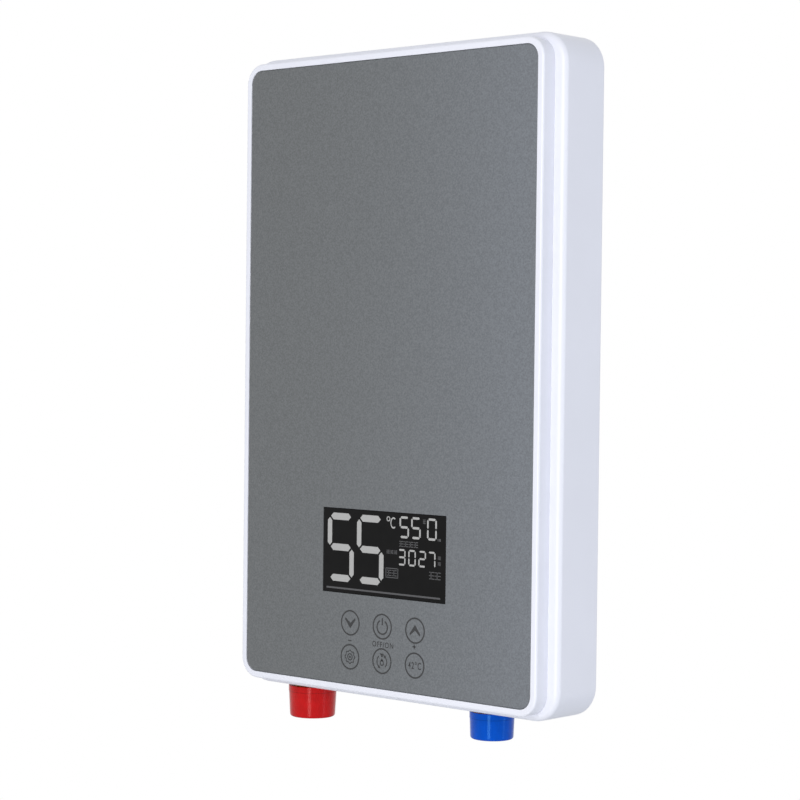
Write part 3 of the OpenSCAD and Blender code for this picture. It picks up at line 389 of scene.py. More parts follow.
lit_bars = crystal("lit_bars", colour=(0.37, 0.37, 0.37))
dim_bars = crystal("dim_bars", colour=(0.085, 0.085, 0.09))
key_ink = moulded("key_ink", colour=(0.018, 0.019, 0.021), gloss=0.4, texture=0.3 * MM, drift=0.1)
print("made", black_lens.name, lit_bars.name, dim_bars.name, key_ink.name)

# %% [markdown]
# The transport caps are soft polythene, one red and one blue. They are glossy, and the mould has left fine
# level rings on them. Just under the collar the cup lies in the collar's thin shadow, which is painted into
# the colour as a darker band. A wave texture along Z makes the rings, because a noise has no direction, and
# the painted shadow is a narrow band of heights.

# %% Cap plastics
COLLAR_FOOT = -173.0 * MM
COLLAR_SHADOW_BAND = 0.22 * MM
COLLAR_SHADOW_DARKNESS = 0.3
MOULD_RINGS = 0.32 / MM
RING_WANDER = 0.6
RING_HEIGHT = 0.008 * MM
CLOUD = 5 * MM
CLOUD_TONES = (0.9, 1.06)
CLOUD_GLOSS = 0.06
CAP_SPECULAR = 0.22


def polythene(name, colour, glint, gloss):
    """Soft coloured plastic with the level rings of its mould. A painted shadow darkens a band under its
    collar. Its glints take a little of its colour.
    """
    finish, wire = new_finish(name)
    place = spot_on(wire)
    rings = wire.node("ShaderNodeTexWave", {"bands_direction": "Z"},
                      {"Vector": place, "Scale": MOULD_RINGS, "Distortion": RING_WANDER, "Detail": 2},
                      output="Fac")
    height = wire.node("ShaderNodeSeparateXYZ", sockets={"Vector": place}, output="Z")
    # Painted shadow: the narrow band of heights under the collar is darkened, where the collar shades the
    # cup.
    line = wire.node("ShaderNodeMath", {"operation": "COMPARE"}, {0: height, 1: COLLAR_FOOT, 2: COLLAR_SHADOW_BAND})
    cloud = spread(wire, grain(wire, CLOUD, detail=3), 0, 1)
    tone = two_tone(wire, cloud, shade(colour, CLOUD_TONES[0]), shade(colour, CLOUD_TONES[1]))
    tone = wire.node("ShaderNodeVectorMath", {"operation": "SCALE"},
                     {0: tone, "Scale": 1 - COLLAR_SHADOW_DARKNESS * line})
    close_finish(wire, tone, gloss + CLOUD_GLOSS * cloud, rings, RING_HEIGHT,
                 {"Specular IOR Level": CAP_SPECULAR, "Specular Tint": (*glint, 1)})
    return finish


red_plastic = polythene("red_plastic", colour=(0.47, 0.007, 0.008), glint=(1, 0.5, 0.5), gloss=0.15)
blue_plastic = polythene("blue_plastic", colour=(0.001, 0.066, 0.47), glint=(0.2, 0.65, 1), gloss=0.09)
print("made", red_plastic.name, blue_plastic.name)

# %% [markdown]
# Inside the case are metals, rubber, boards and wires. Nobody sees them until the heater is opened or a cap
# is pulled off, but each still gets the finish of its material. Circuit boards need copper tracks, so a brick
# texture turned to the board draws them, and the earth wire needs its green and yellow stripes, which are a
# wave along its length.

# %% Striped sleeves and circuit boards
BAND_SHARE = 0.3
BAND_WANDER = 0.15
BAND_EDGE = (0.4, 0.6)
BAND_HEIGHT = 0.05 * MM
SLEEVE_GRAIN = 1.5 * MM
LACQUER = (0.012, 0.11, 0.035)
TRACK = (0.035, 0.22, 0.07)
TRACK_SHIFT = 0.37
TRACK_SCALE = 90
TRACK_GAP, TRACK_BLUR = 0.06, 0.1
TRACK_HEIGHT = 0.03 * MM
BOARD_GRAIN = 2 * MM
BOARD_GLOSS = (0.28, 0.4)


def stripes(name, first, second, width, direction, gloss):
    """Bands of two colours, for a striped sleeve or a flat cable."""
    finish, wire = new_finish(name)
    bands = wire.node("ShaderNodeTexWave", {"bands_direction": direction},
                      {"Vector": spot_on(wire), "Scale": BAND_SHARE / width, "Distortion": BAND_WANDER},
                      output="Fac")
    hard = wire.node("ShaderNodeMapRange", sockets={"Value": bands, "From Min": BAND_EDGE[0],
                                                    "From Max": BAND_EDGE[1]})
    rough = spread(wire, grain(wire, SLEEVE_GRAIN), gloss - GLOSS_PLAY, gloss + GLOSS_PLAY)
    close_finish(wire, two_tone(wire, hard, first, second), rough, bands, BAND_HEIGHT)
    return finish


def circuit_board(name):
    """Green lacquer over copper tracks, seen on the board's own plane."""
    finish, wire = new_finish(name)
    place = wire.node("ShaderNodeMapping",
                      sockets={"Vector": spot_on(wire), "Rotation": (math.radians(90), 0, 0)})
    tracks = wire.node("ShaderNodeTexBrick", {"offset": TRACK_SHIFT},
                       {"Vector": place, "Scale": TRACK_SCALE, "Mortar Size": TRACK_GAP,
                        "Mortar Smooth": TRACK_BLUR}, output="Fac")
    tone = two_tone(wire, tracks, LACQUER, TRACK)
    close_finish(wire, tone, spread(wire, grain(wire, BOARD_GRAIN), *BOARD_GLOSS), tracks, TRACK_HEIGHT)
    return finish


print("stripes and boards ready")

# %% [markdown]
# The inner finishes differ only in colour, gloss and skin, so they are rows of three tables. One dictionary
# keeps every finish under the name of its slot in the record, and the record says which slot each node
# belongs to. So one loop dresses all nodes, and no list of nodes has to be kept here. A node that a finer
# piece stands in for later is dressed as well, which does no harm.

# %% Finishes by slot
METALS = {
    "brass": {"colour": (0.72, 0.49, 0.18), "gloss": 0.26},
    "steel": {"colour": (0.58, 0.59, 0.6), "gloss": 0.28},
    "aluminium": {"colour": (0.74, 0.75, 0.76), "gloss": 0.36},
}
PLASTICS = {
    "rubber": {"colour": (0.022, 0.022, 0.023), "gloss": 0.62, "texture": 0.4 * MM, "relief": 0.02 * MM},
    "foam_tape": {"colour": (0.03, 0.03, 0.032), "gloss": 0.85, "texture": 0.5 * MM, "relief": 0.08 * MM},
    "black_plastic": {"colour": (0.02, 0.02, 0.021), "gloss": 0.42},
    "ivory_plastic": {"colour": (0.7, 0.66, 0.54), "gloss": 0.4},
    "rotor_plastic": {"colour": (0.05, 0.16, 0.55), "gloss": 0.38},
    "cutout_plastic": {"colour": (0.16, 0.07, 0.035), "gloss": 0.48},
    "button_plastic": {"colour": (0.5, 0.03, 0.025), "gloss": 0.36},
    "relay_plastic": {"colour": (0.02, 0.05, 0.2), "gloss": 0.3},
    "yellow_tape": {"colour": (0.72, 0.5, 0.06), "gloss": 0.3, "texture": 1.2 * MM},
    "coil_lacquer": {"colour": (0.03, 0.13, 0.05), "gloss": 0.25, "texture": 1.0 * MM},
    "brown_sleeve": {"colour": (0.13, 0.05, 0.02), "gloss": 0.45},
    "red_sleeve": {"colour": (0.45, 0.03, 0.025), "gloss": 0.45},
}
STRIPED = {
    "earth_sleeve": {"first": (0.06, 0.33, 0.04), "second": (0.75, 0.6, 0.03), "width": 4 * MM,
                     "direction": "Z", "gloss": 0.45},
    "grey_ribbon": {"first": (0.42, 0.43, 0.45), "second": (0.55, 0.56, 0.58), "width": 1.2 * MM,
                    "direction": "X", "gloss": 0.5},
}

finishes = {"board": circuit_board("board")}
for make, table in ((metal, METALS), (moulded, PLASTICS), (stripes, STRIPED)):
    for name, looks in table.items():
        finishes[name] = make(name, **looks)
finishes.update(white_plastic=white_plastic, panel_glass=panel_glass, black_lens=black_lens,
                red_plastic=red_plastic, blue_plastic=blue_plastic)
for row in frame["record"]["subparts"]:
    for holder in frame["nodes"][row["node"]].material_slots:
        holder.material = finishes[row["material_slot"]]

# %% [markdown]
# The flat pieces of the case are easiest to draw lying on a table, with X to the right, Y up the front and
# the depth as height, and to stand up at the end with one quarter turn. A rounded rectangle could be typed
# in as points. Here a grid of one face is stretched to size and its four corners are bevelled, so that the
# corner radius is one number.

# %% Helpers for flat pieces
STAND = Matrix.Rotation(math.radians(90), 4, "X")
CORNER_STEPS = 12
DRUM_STEPS = 48
COLUMN_STEPS = 64


def ring(bm, width, height, corner, depth):
    """Draws one rounded rectangle at a depth and returns its edges."""
    known = set(bm.edges)
    corners = bmesh.ops.create_grid(bm, x_segments=1, y_segments=1, size=0.5)["verts"]
    bmesh.ops.scale(bm, vec=(width, height, 1), verts=corners)
    bmesh.ops.translate(bm, vec=(0, 0, depth), verts=corners)
    bmesh.ops.bevel(bm, geom=corners, offset=corner, segments=CORNER_STEPS, profile=0.5, affect="VERTICES",
                    material=-1)
    edges = [edge for edge in bm.edges if edge not in known]
    faces = list({face for edge in edges for face in edge.link_faces})
    bmesh.ops.delete(bm, geom=faces, context="FACES_ONLY")
    return edges


def loft(bm, sections, hollow=False):
    """Skins rounded rectangles, each as width, height, corner and depth. A hollow one ends where it began."""
    rings = [(section[-1], ring(bm, *section)) for section in sections]
    pairs = list(zip(rings, rings[1:]))
    if hollow:
        pairs.append((rings[-1], rings[0]))
    # Two rings at one depth come first: once they have other faces, the bridge between them gets a half turn.
    pairs.sort(key=lambda pair: abs(pair[0][0] - pair[1][0]))
    for (_, first), (_, second) in pairs:
        bmesh.ops.bridge_loops(bm, edges=first + second)
    if not hollow:
        bmesh.ops.edgeloop_fill(bm, edges=rings[0][1])
        bmesh.ops.edgeloop_fill(bm, edges=rings[-1][1])


def inset(section, margin, depth):
    """The same rounded rectangle, smaller all round, at another depth."""
    width, height, corner = section[:3]
    return width - 2 * margin, height - 2 * margin, corner - margin, depth


def quarter(steps):
    """The angles of a quarter turn, in even steps."""
    return [math.pi / 2 * k / steps for k in range(steps + 1)]


def rounded_edge(section, radius, depth, steps):
    """The sections of a rounded front edge that ends at a depth."""
    return [inset(section, radius * (1 - math.cos(a)), depth - radius * (1 - math.sin(a)))
            for a in quarter(steps)]


def drum(bm, x, up, low, high, diameter, steps=DRUM_STEPS):
    """A round post or hole between two depths."""
    bmesh.ops.create_cone(bm, cap_ends=True, segments=steps, radius1=diameter / 2, radius2=diameter / 2,
                          depth=high - low, matrix=Matrix.Translation((x, up, (low + high) / 2)))


def brick(bm, x, up, width, height, low, high):
    """A straight-edged block or hole between two depths."""
    size = Matrix.Diagonal((width, height, high - low, 1))
    bmesh.ops.create_cube(bm, size=1, matrix=Matrix.Translation((x, up, (low + high) / 2)) @ size)


def column(bm, x, depth, low, high, diameter):
    """A round post or hole that stands up and down, between two heights."""
    place = Matrix.Translation((x, (low + high) / 2, depth)) @ STAND
    bmesh.ops.create_cone(bm, cap_ends=True, segments=COLUMN_STEPS, radius1=diameter / 2,
                          radius2=diameter / 2, depth=high - low, matrix=place)


print("flat helpers ready")

# %% [markdown]
# A finished mesh becomes an object that rides on a body of the model, and the node that it stands for is
# hidden. Holes and posts are added with Boolean modifiers, and the result is made the piece's own mesh at
# once, so that later steps can work on its edges.

# %% Helpers that turn a mesh into a piece
MERGE = 0.001 * MM
SHARP_ABOVE = math.radians(50)
SMOOTH_BELOW = math.radians(32)
RIM_STEPS = 3


def clean(bm):
    """Merges doubled points and turns every face outwards."""
    bmesh.ops.remove_doubles(bm, verts=bm.verts, dist=MERGE)
    bmesh.ops.recalc_face_normals(bm, faces=bm.faces)


def to_object(name, bm):
    """Makes a mesh an object of the scene."""
    clean(bm)
    data = bpy.data.meshes.new(name)
    bm.to_mesh(data)
    bm.free()
    made = bpy.data.objects.new(name, data)
    scene.collection.objects.link(made)
    return made


def carve(piece, operation, tool_mesh):
    """Cuts a tool out of a piece or adds it, and keeps the result as plain mesh."""
    tool = to_object("tool", tool_mesh)
    modifier = piece.modifiers.new("carve", "BOOLEAN")
    modifier.operation = operation
    modifier.solver = "EXACT"
    modifier.use_self = True
    modifier.object = tool
    graph = bpy.context.evaluated_depsgraph_get()
    carved = bpy.data.meshes.new_from_object(piece.evaluated_get(graph))
    piece.modifiers.clear()
    piece.data = carved
    bpy.data.objects.remove(tool)


def soften(piece, picked, radius):
    """Rounds the sharp edges that a test picks by the places of their ends."""
    bm = bmesh.new()
    bm.from_mesh(piece.data)
    bmesh.ops.remove_doubles(bm, verts=bm.verts, dist=MERGE)
    sharp = [edge for edge in bm.edges if edge.is_manifold and edge.calc_face_angle() > SHARP_ABOVE
             and all(picked(corner.co) for corner in edge.verts)]
    bmesh.ops.bevel(bm, geom=sharp, offset=radius, segments=RIM_STEPS, profile=0.5, affect="EDGES",
                    material=-1)
    bm.to_mesh(piece.data)
    bm.free()
    return len(sharp)


def finish_piece(piece, finish, body, slot, *nodes, turn=None):
    """Stands a piece up, smooths its curved faces, gives it a finish and a body, and hides the nodes it
    stands for.
    """
    if turn is not None:
        piece.data.transform(turn)
    piece.data.materials.clear()
    piece.data.materials.append(finish)
    piece.data.shade_smooth()
    piece.data.set_sharp_from_angle(angle=SMOOTH_BELOW)
    even = piece.modifiers.new("even_shading", "WEIGHTED_NORMAL")
    even.keep_sharp = True
    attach(piece, body)
    if nodes:
        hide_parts(*nodes)
    print(piece.name, len(piece.data.polygons), "faces")


print("piece helpers ready")

# %% [markdown]
# The frame knows how large each piece is, so sizes are read from the boxes of its nodes and not typed in
# again. Only what a box can't tell is a number here: the corner radii and the thickness of the walls. Depths
# are measured from the wall of the room to the front.

# %% Sizes of the case
case_low, case_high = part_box("rear_housing")
cover_low, cover_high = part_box("front_cover")
glass_low, glass_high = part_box("glass_panel")
lens_low, lens_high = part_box("display_lens")

CASE_CORNER = 16 * MM
COVER_CORNER = 11 * MM
GLASS_CORNER = 7 * MM
WALL = 2.5 * MM
COVER_WALL = 2.5 * MM

case = (case_high.x - case_low.x, case_high.z - case_low.z, CASE_CORNER)
cover = (cover_high.x - cover_low.x, cover_high.z - cover_low.z, COVER_CORNER)
glass = (glass_high.x - glass_low.x, glass_high.z - glass_low.z, GLASS_CORNER)
lens = (lens_high.x - lens_low.x, lens_high.z - lens_low.z)
lens_mid = (lens_low + lens_high) / 2
ledge = -case_low.y
rim = -cover_low.y
glass_front, glass_back = -glass_low.y, -glass_high.y
case_bottom = case_low.z
mouth = inset(cover, COVER_WALL, 0)
print("case", [round(size / MM, 1) for size in case])
print("ledge", round(ledge / MM, 1), "rim", round(rim / MM, 1))

# %% [markdown]
# The rear housing is a ring of sides with an inward lip, which shows as the ledge around the front cover. It
# could be a cube with bevels and a Solidify, but the inside and outside have different corners, so it is
# skinned from sections: out of the back rim, up the side, over the rounded front edge, in along the ledge,
# down the mouth, under the lip, and down the inside to the step that takes the back plate. The last section
# is joined to the first, which closes the ring.

# %% Rear housing
BACK_EDGE = 1 * MM
BACK_STEPS = 5
FRONT_EDGE = 3.2 * MM
FRONT_STEPS = 10
BACK_RIM = 1.2 * MM
LIP = 2.5 * MM
FIT = 0.2 * MM
THREAD_D = 20.955 * MM
PAST = 1 * MM

hot_low, hot_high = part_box("outlet_fitting")
cold_low, cold_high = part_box("inlet_fitting")
hot_x, cold_x = (hot_low.x + hot_high.x) / 2, (cold_low.x + cold_high.x) / 2
water_depth = -(hot_low.y + hot_high.y) / 2

sections = [inset(case, BACK_EDGE * (1 - math.sin(a)), BACK_EDGE * (1 - math.cos(a)))
            for a in quarter(BACK_STEPS)]
sections += rounded_edge(case, FRONT_EDGE, ledge, FRONT_STEPS)
sections += [inset(mouth, 0, ledge), inset(mouth, 0, ledge - LIP), inset(case, WALL, ledge - LIP),
             inset(case, WALL, WALL), inset(case, BACK_RIM, WALL), inset(case, BACK_RIM, 0)]
housing_mesh = bmesh.new()
loft(housing_mesh, sections, hollow=True)
housing = to_object("case_rear", housing_mesh)
ways = bmesh.new()
for x in (hot_x, cold_x):
    column(ways, x, water_depth, case_bottom - PAST, case_bottom + WALL + PAST, THREAD_D + 2 * FIT)
carve(housing, "DIFFERENCE", ways)
finish_piece(housing, white_plastic, "heater", "white_plastic", "rear_housing", turn=STAND)

# %% [markdown]
# The back plate lies in the housing's rim and closes the case towards the wall. Four long posts stand on it,
# which the cover's screws pass through, so that one set of screws clamps plate, housing and cover together.
# Two windows show the steel hanger plates with their keyholes, and a round hole takes the cable's rubber
# ring. Holes are cut last, through wall and posts at once, and then the rims on the back are rounded a
# little, as a mould leaves them.

# %% Back plate
screw_low, screw_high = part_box("cover_screws")
cable_low, cable_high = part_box("cable_grommet")
plate_low, plate_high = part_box("back_plate")
hanger_low, hanger_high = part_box("left_hanger")
cable_x, cable_up = (cable_low.x + cable_high.x) / 2, (cable_low.z + cable_high.z) / 2
hanger_x, hanger_up = (hanger_low.x + hanger_high.x) / 2, (hanger_low.z + hanger_high.z) / 2

HEAD_D = 5.6 * MM
SCREW_D = 3 * MM
POST_D = 9.6 * MM
POST_DEPTH = 20 * MM
HEAD_SEAT = 8 * MM
HEAD_ROOM = 0.4 * MM
WINDOW_W = 15 * MM
WINDOW_H = 21.8 * MM
CABLE_HOLE_D = 16 * MM
PLATE_EDGE = 0.3 * MM
ARC_MIDDLE = 0.3
HOLE_RIM = 0.35 * MM

screw_x, screw_up = screw_high.x - HEAD_D / 2, screw_high.z - HEAD_D / 2
screw_spots = [(sx * screw_x, sz * screw_up) for sx in (-1, 1) for sz in (-1, 1)]
plate = (plate_high.x - plate_low.x, plate_high.z - plate_low.z, CASE_CORNER - BACK_RIM - FIT)

plate_mesh = bmesh.new()
loft(plate_mesh, [inset(plate, PLATE_EDGE, 0), inset(plate, ARC_MIDDLE * PLATE_EDGE, ARC_MIDDLE * PLATE_EDGE),
                  inset(plate, 0, PLATE_EDGE), inset(plate, 0, WALL)])
back = to_object("case_back", plate_mesh)
posts, holes = bmesh.new(), bmesh.new()
for x, up in screw_spots:
    drum(posts, x, up, WALL / 2, POST_DEPTH, POST_D)
    drum(holes, x, up, -PAST, HEAD_SEAT, HEAD_D + HEAD_ROOM)
    drum(holes, x, up, HEAD_SEAT - PAST, POST_DEPTH + PAST, SCREW_D + FIT)
for side in (-1, 1):
    brick(holes, side * hanger_x, hanger_up, WINDOW_W, WINDOW_H, -PAST, WALL + PAST)
drum(holes, cable_x, cable_up, -PAST, WALL + PAST, CABLE_HOLE_D)
carve(back, "UNION", posts)
carve(back, "DIFFERENCE", holes)
rims = soften(back, lambda place: abs(place.z) < MERGE, HOLE_RIM)
finish_piece(back, white_plastic, "heater", "white_plastic", "back_plate", turn=STAND)
print("rounded", rims, "edges of the holes in the back")

# %% [markdown]
# The front cover is a shallow frame. Its skirt drops into the mouth of the housing, its side stands on the
# ledge, and its rim goes round the glass, which lies on a plate. Skinning works here too: from the inside of
# the plate, down and round the skirt, out on the ledge, up the side, over the rim and down to the plate.

# %% Front cover
SKIRT = 2.2 * MM
SKIRT_WALL = 1.6 * MM
COVER_EDGE = 1.3 * MM
COVER_STEPS = 8
POCKET_EDGE = 0.35 * MM
PLATE = 2 * MM
TAPE = 0.5 * MM

skirt = inset(mouth, FIT, 0)
pocket = inset(glass, -FIT, 0)
plate_front = glass_back - TAPE
plate_back = plate_front - PLATE
skirt_foot = ledge - SKIRT
sections = [inset(skirt, SKIRT_WALL, plate_back), inset(skirt, SKIRT_WALL, skirt_foot),
            inset(skirt, 0, skirt_foot), inset(skirt, 0, ledge), inset(cover, 0, ledge)]
sections += rounded_edge(cover, COVER_EDGE, rim, COVER_STEPS)
sections += [inset(pocket, -POCKET_EDGE, rim),
             inset(pocket, -ARC_MIDDLE * POCKET_EDGE, rim - ARC_MIDDLE * POCKET_EDGE),
             inset(pocket, 0, rim - POCKET_EDGE), inset(pocket, 0, plate_front)]
cover_mesh = bmesh.new()
loft(cover_mesh, sections)
front = to_object("case_front", cover_mesh)
print("cover skin:", len(front.data.polygons), "faces, plate from", round(plate_back / MM, 1))

# %% [markdown]
# Behind the plate the cover has four posts for its screws and bosses for the control board. The plate is open
# behind the display and behind each key, where a touch pad reaches the glass. Posts and bosses are joined to
# the skin with one Boolean, and everything that is open is cut with a second one.

# %% Posts, window and key holes of the cover
pad_low, pad_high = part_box("touch_pads")
control_low, control_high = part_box("control_board")

BOARD_INSET = 4.5 * MM
PAD_D = 8 * MM
CONTROL_INSET = 12 * MM
WINDOW_LIP = 2 * MM
BOSS_D = POST_D - 2 * MM
SCREW_HOLE_END = 29 * MM
CONTROL_BOSS_D = 7 * MM
CONTROL_HOLE = 3 * MM
PAD_ROOM = 0.8 * MM

key_columns = [pad_low.x + PAD_D / 2, (pad_low.x + pad_high.x) / 2, pad_high.x - PAD_D / 2]
key_rows = [pad_high.z - PAD_D / 2, pad_low.z + PAD_D / 2]
control_spots = [(x, up) for x in (control_low.x + CONTROL_INSET, control_high.x - CONTROL_INSET)
                 for up in (control_low.z + BOARD_INSET, control_high.z - BOARD_INSET)]

bosses = bmesh.new()
for x, up in screw_spots:
    drum(bosses, x, up, POST_DEPTH, plate_back + PLATE / 2, BOSS_D)
for x, up in control_spots:
    drum(bosses, x, up, -control_low.y, plate_back + PLATE / 2, CONTROL_BOSS_D)
carve(front, "UNION", bosses)

cuts = bmesh.new()
for x, up in screw_spots:
    drum(cuts, x, up, POST_DEPTH - PAST, SCREW_HOLE_END, SCREW_D + FIT)
for x, up in control_spots:
    drum(cuts, x, up, -control_low.y - PAST, -control_low.y + CONTROL_HOLE, SCREW_D + FIT)
for x in key_columns:
    for up in key_rows:
        drum(cuts, x, up, plate_back - PAST, plate_front + PAST, PAD_D + PAD_ROOM)
brick(cuts, lens_mid.x, lens_mid.z, lens[0] - 2 * WINDOW_LIP, lens[1] - 2 * WINDOW_LIP,
      plate_back - PAST, plate_front + PAST)
carve(front, "DIFFERENCE", cuts)
finish_piece(front, white_plastic, "heater", "white_plastic", "front_cover", turn=STAND)

# %% [markdown]
# The glass is a sheet with ground edges and a cut-out for the display. The ground edge is a narrow rounded
# band, and it is what catches the light as a thin bright line beside the rim. The window of the display lies
# flush in the cut-out.

# %% Glass and display window
GROUND_EDGE = 0.5 * MM
GROUND_STEPS = 5
WINDOW_EDGE = 0.25 * MM
WINDOW_STEPS = 3

glass_mesh = bmesh.new()
loft(glass_mesh, [inset(glass, GROUND_EDGE / 2, glass_back), inset(glass, 0, glass_back + GROUND_EDGE / 2)]
     + rounded_edge(glass, GROUND_EDGE, glass_front, GROUND_STEPS))
sheet = to_object("front_glass", glass_mesh)
window = bmesh.new()
brick(window, lens_mid.x, lens_mid.z, lens[0] + 2 * FIT, lens[1] + 2 * FIT, glass_back - PAST,
      glass_front + PAST)
carve(sheet, "DIFFERENCE", window)
finish_piece(sheet, panel_glass, "heater", "panel_glass", "glass_panel", turn=STAND)

lens_mesh = bmesh.new()
brick(lens_mesh, lens_mid.x, lens_mid.z, lens[0], lens[1], glass_back, glass_front)
bmesh.ops.bevel(lens_mesh, geom=lens_mesh.edges[:], offset=WINDOW_EDGE, segments=WINDOW_STEPS, profile=0.5,
                affect="EDGES", material=-1)
finish_piece(to_object("display_window", lens_mesh), black_lens, "heater", "black_lens", "display_lens",
             turn=STAND)

# %% [markdown]
# Everything that is printed or lit on the front is thinner than paper: a few hundredths of a millimetre. It
# could be painted into the materials, but small meshes stay crisp at any distance and survive an export. So
# each shape is first drawn flat, from bars, rings, arcs and small patches.

# %% Helpers for lines and patches
RING_STEPS = 72
ARC_STEPS = 32


def bar(bm, x, up, length, width, turn=0, point=0):
    """A flat bar. A point of half its width gives it the pointed ends of a display's segments."""
    corners = bmesh.ops.create_grid(bm, x_segments=1, y_segments=1, size=0.5)["verts"]
    bmesh.ops.scale(bm, vec=(length, width, 1), verts=corners)
    place = Matrix.Translation((x, up, 0)) @ Matrix.Rotation(math.radians(turn), 4, "Z")
    bmesh.ops.transform(bm, matrix=place, verts=corners)
    if point:
        bmesh.ops.bevel(bm, geom=corners, offset=point, segments=1, profile=0.5, affect="VERTICES",
                        material=-1)


def circle_line(bm, x, up, radius, line, wave=0, waves=0):
    """A ring of even line width. A wave makes it the outline of a cog."""
    loops = []
    for size in (radius - line / 2, radius + line / 2):
        loop = bmesh.ops.create_circle(bm, segments=RING_STEPS, radius=size)["verts"]
        for corner in loop:
            corner.co *= 1 + wave * math.cos(waves * math.atan2(corner.co.y, corner.co.x))
        bmesh.ops.translate(bm, vec=(x, up, 0), verts=loop)
        loops += {edge for corner in loop for edge in corner.link_edges}
    bmesh.ops.bridge_loops(bm, edges=loops)


def arc_line(bm, x, up, radius, line, start, sweep, tall=1):
    """Part of a ring, from one angle over a sweep, in degrees. It can be taller than wide."""
    known = set(bm.verts)
    heading = Vector((math.cos(math.radians(start)), math.sin(math.radians(start)), 0))
    middle = Vector((x, up, 0))
    ends = [bm.verts.new(middle + heading * size) for size in (radius - line / 2, radius + line / 2)]
    bmesh.ops.spin(bm, geom=ends + [bm.edges.new(ends)], axis=(0, 0, 1), cent=middle,
                   angle=math.radians(sweep), steps=ARC_STEPS)
    bmesh.ops.scale(bm, vec=(1, tall, 1), space=Matrix.Translation((-x, -up, 0)),
                    verts=[corner for corner in bm.verts if corner not in known])


def patch(bm, x, up, points, turn=0):
    """A small flat shape. Its corners are given in millimetres round its middle."""
    place = Matrix.Translation((x, up, 0)) @ Matrix.Rotation(math.radians(turn), 4, "Z")
    bm.faces.new([bm.verts.new(place @ Vector((px * MM, pu * MM, 0))) for px, pu in points])


print("line helpers ready")

# %% [markdown]
# Words come from Blender's own font. They could be drawn bar by bar, but a text object that is evaluated to a
# mesh and stretched to the size of the print is quicker and has real letters. When all shapes of a print are
# drawn, they are raised to its thickness at once.

# %% Helpers for words and for raising a print
BOLD = 0.012
LETTER_STEP = 1.22


def words(bm, text, x, up, width, height):
    """A short word, stretched to a width and a height about its middle."""
    curve = bpy.data.curves.new("words", "FONT")
    curve.body = text
    curve.offset = BOLD
    curve.space_character = LETTER_STEP
    writer = bpy.data.objects.new("words", curve)
    scene.collection.objects.link(writer)
    graph = bpy.context.evaluated_depsgraph_get()
    letters = bpy.data.meshes.new_from_object(writer.evaluated_get(graph))
    low = [min(corner.co[axis] for corner in letters.vertices) for axis in (0, 1)]
    high = [max(corner.co[axis] for corner in letters.vertices) for axis in (0, 1)]
    size = Matrix.Diagonal((width / (high[0] - low[0]), height / (high[1] - low[1]), 1, 1))
    middle = Matrix.Translation((-(low[0] + high[0]) / 2, -(low[1] + high[1]) / 2, 0))
    letters.transform(Matrix.Translation((x, up, 0)) @ size @ middle)
    bm.from_mesh(letters)
    bpy.data.objects.remove(writer)
    bpy.data.meshes.remove(letters)


def raise_print(name, bm, thickness, finish, slot):
    """Gives flat shapes their thickness and lays them on the front."""
    bmesh.ops.remove_doubles(bm, verts=bm.verts, dist=MERGE)
    raised = bmesh.ops.extrude_face_region(bm, geom=bm.faces[:])["geom"]
    tops = [item for item in raised if isinstance(item, bmesh.types.BMVert)]
    bmesh.ops.translate(bm, vec=(0, 0, thickness), verts=tops)
    bmesh.ops.translate(bm, vec=(0, 0, glass_front), verts=bm.verts)
    finish_piece(to_object(name, bm), finish, "heater", slot, turn=STAND)


print("print helpers ready")

# %% [markdown]
# The display shows a large set temperature, and two smaller numbers at its right. A digit has seven bars
# with pointed ends that nearly touch. The bars of each digit are picked from a list of letters, as on the
# data sheet of a display: a is the top, then b to f go round clockwise, and g is the middle.

# %% Digits of the display
GAP_SHARE = 0.42
UPRIGHT_SHARE = 0.86
POINT_SHARE = 0.98
LCD_THICKNESS = 0.04 * MM
SEGMENTS = {"0": "abcdef", "2": "abged", "3": "abgcd", "5": "afgcd", "7": "abc"}


def lcd(u, v):
    """A point of the display, in millimetres from its upper left corner."""
    return lens_low.x + u * MM, lens_high.z - v * MM


def digit(bm, figure, u, v, width, height, stroke):
    """One figure of seven bars, its upper left corner at a point of the display."""
    left, top = lcd(u, v)
    half, mid = stroke / 2 * MM, left + width / 2 * MM
    low, middle = top - height * MM, top - height / 2 * MM
    gap = GAP_SHARE * stroke * MM
    across = (width - stroke) * MM - gap
    along = (height - stroke) / 2 * MM - gap
    upper, lower = (top - half + middle) / 2, (low + half + middle) / 2
    far = left + width * MM - half
    places = {"a": (mid, top - half, 0), "g": (mid, middle, 0), "d": (mid, low + half, 0),
              "f": (left + half, upper, 90), "b": (far, upper, 90),
              "e": (left + half, lower, 90), "c": (far, lower, 90)}
    for letter in SEGMENTS[figure]:
        x, up, turn = places[letter]
        length, share = (across, 1) if turn == 0 else (along, UPRIGHT_SHARE)
        bar(bm, x, up, length, share * stroke * MM, turn, share * half * POINT_SHARE)


ROWS = [
    {"figures": "55", "starts": (2.9, 23.9), "top": 2.4, "width": 19.4, "height": 35.8, "stroke": 3.6},
    {"figures": "550", "starts": (53.8, 61.8, 72.6), "top": 1.6, "width": 6.7, "height": 11.2, "stroke": 1.2},
    {"figures": "3027", "starts": (53.1, 60.1, 67.0, 73.4), "top": 18.4, "width": 5.2, "height": 8.4,
     "stroke": 0.95},
]
DEGREE = {"spot": (46.2, 3.5), "radius": 1.05 * MM, "line": 0.5 * MM}
LETTER_C = {"spot": (49.7, 5.4), "radius": 1.8 * MM, "line": 0.55 * MM, "start": 50, "sweep": 260,
            "tall": 1.4}

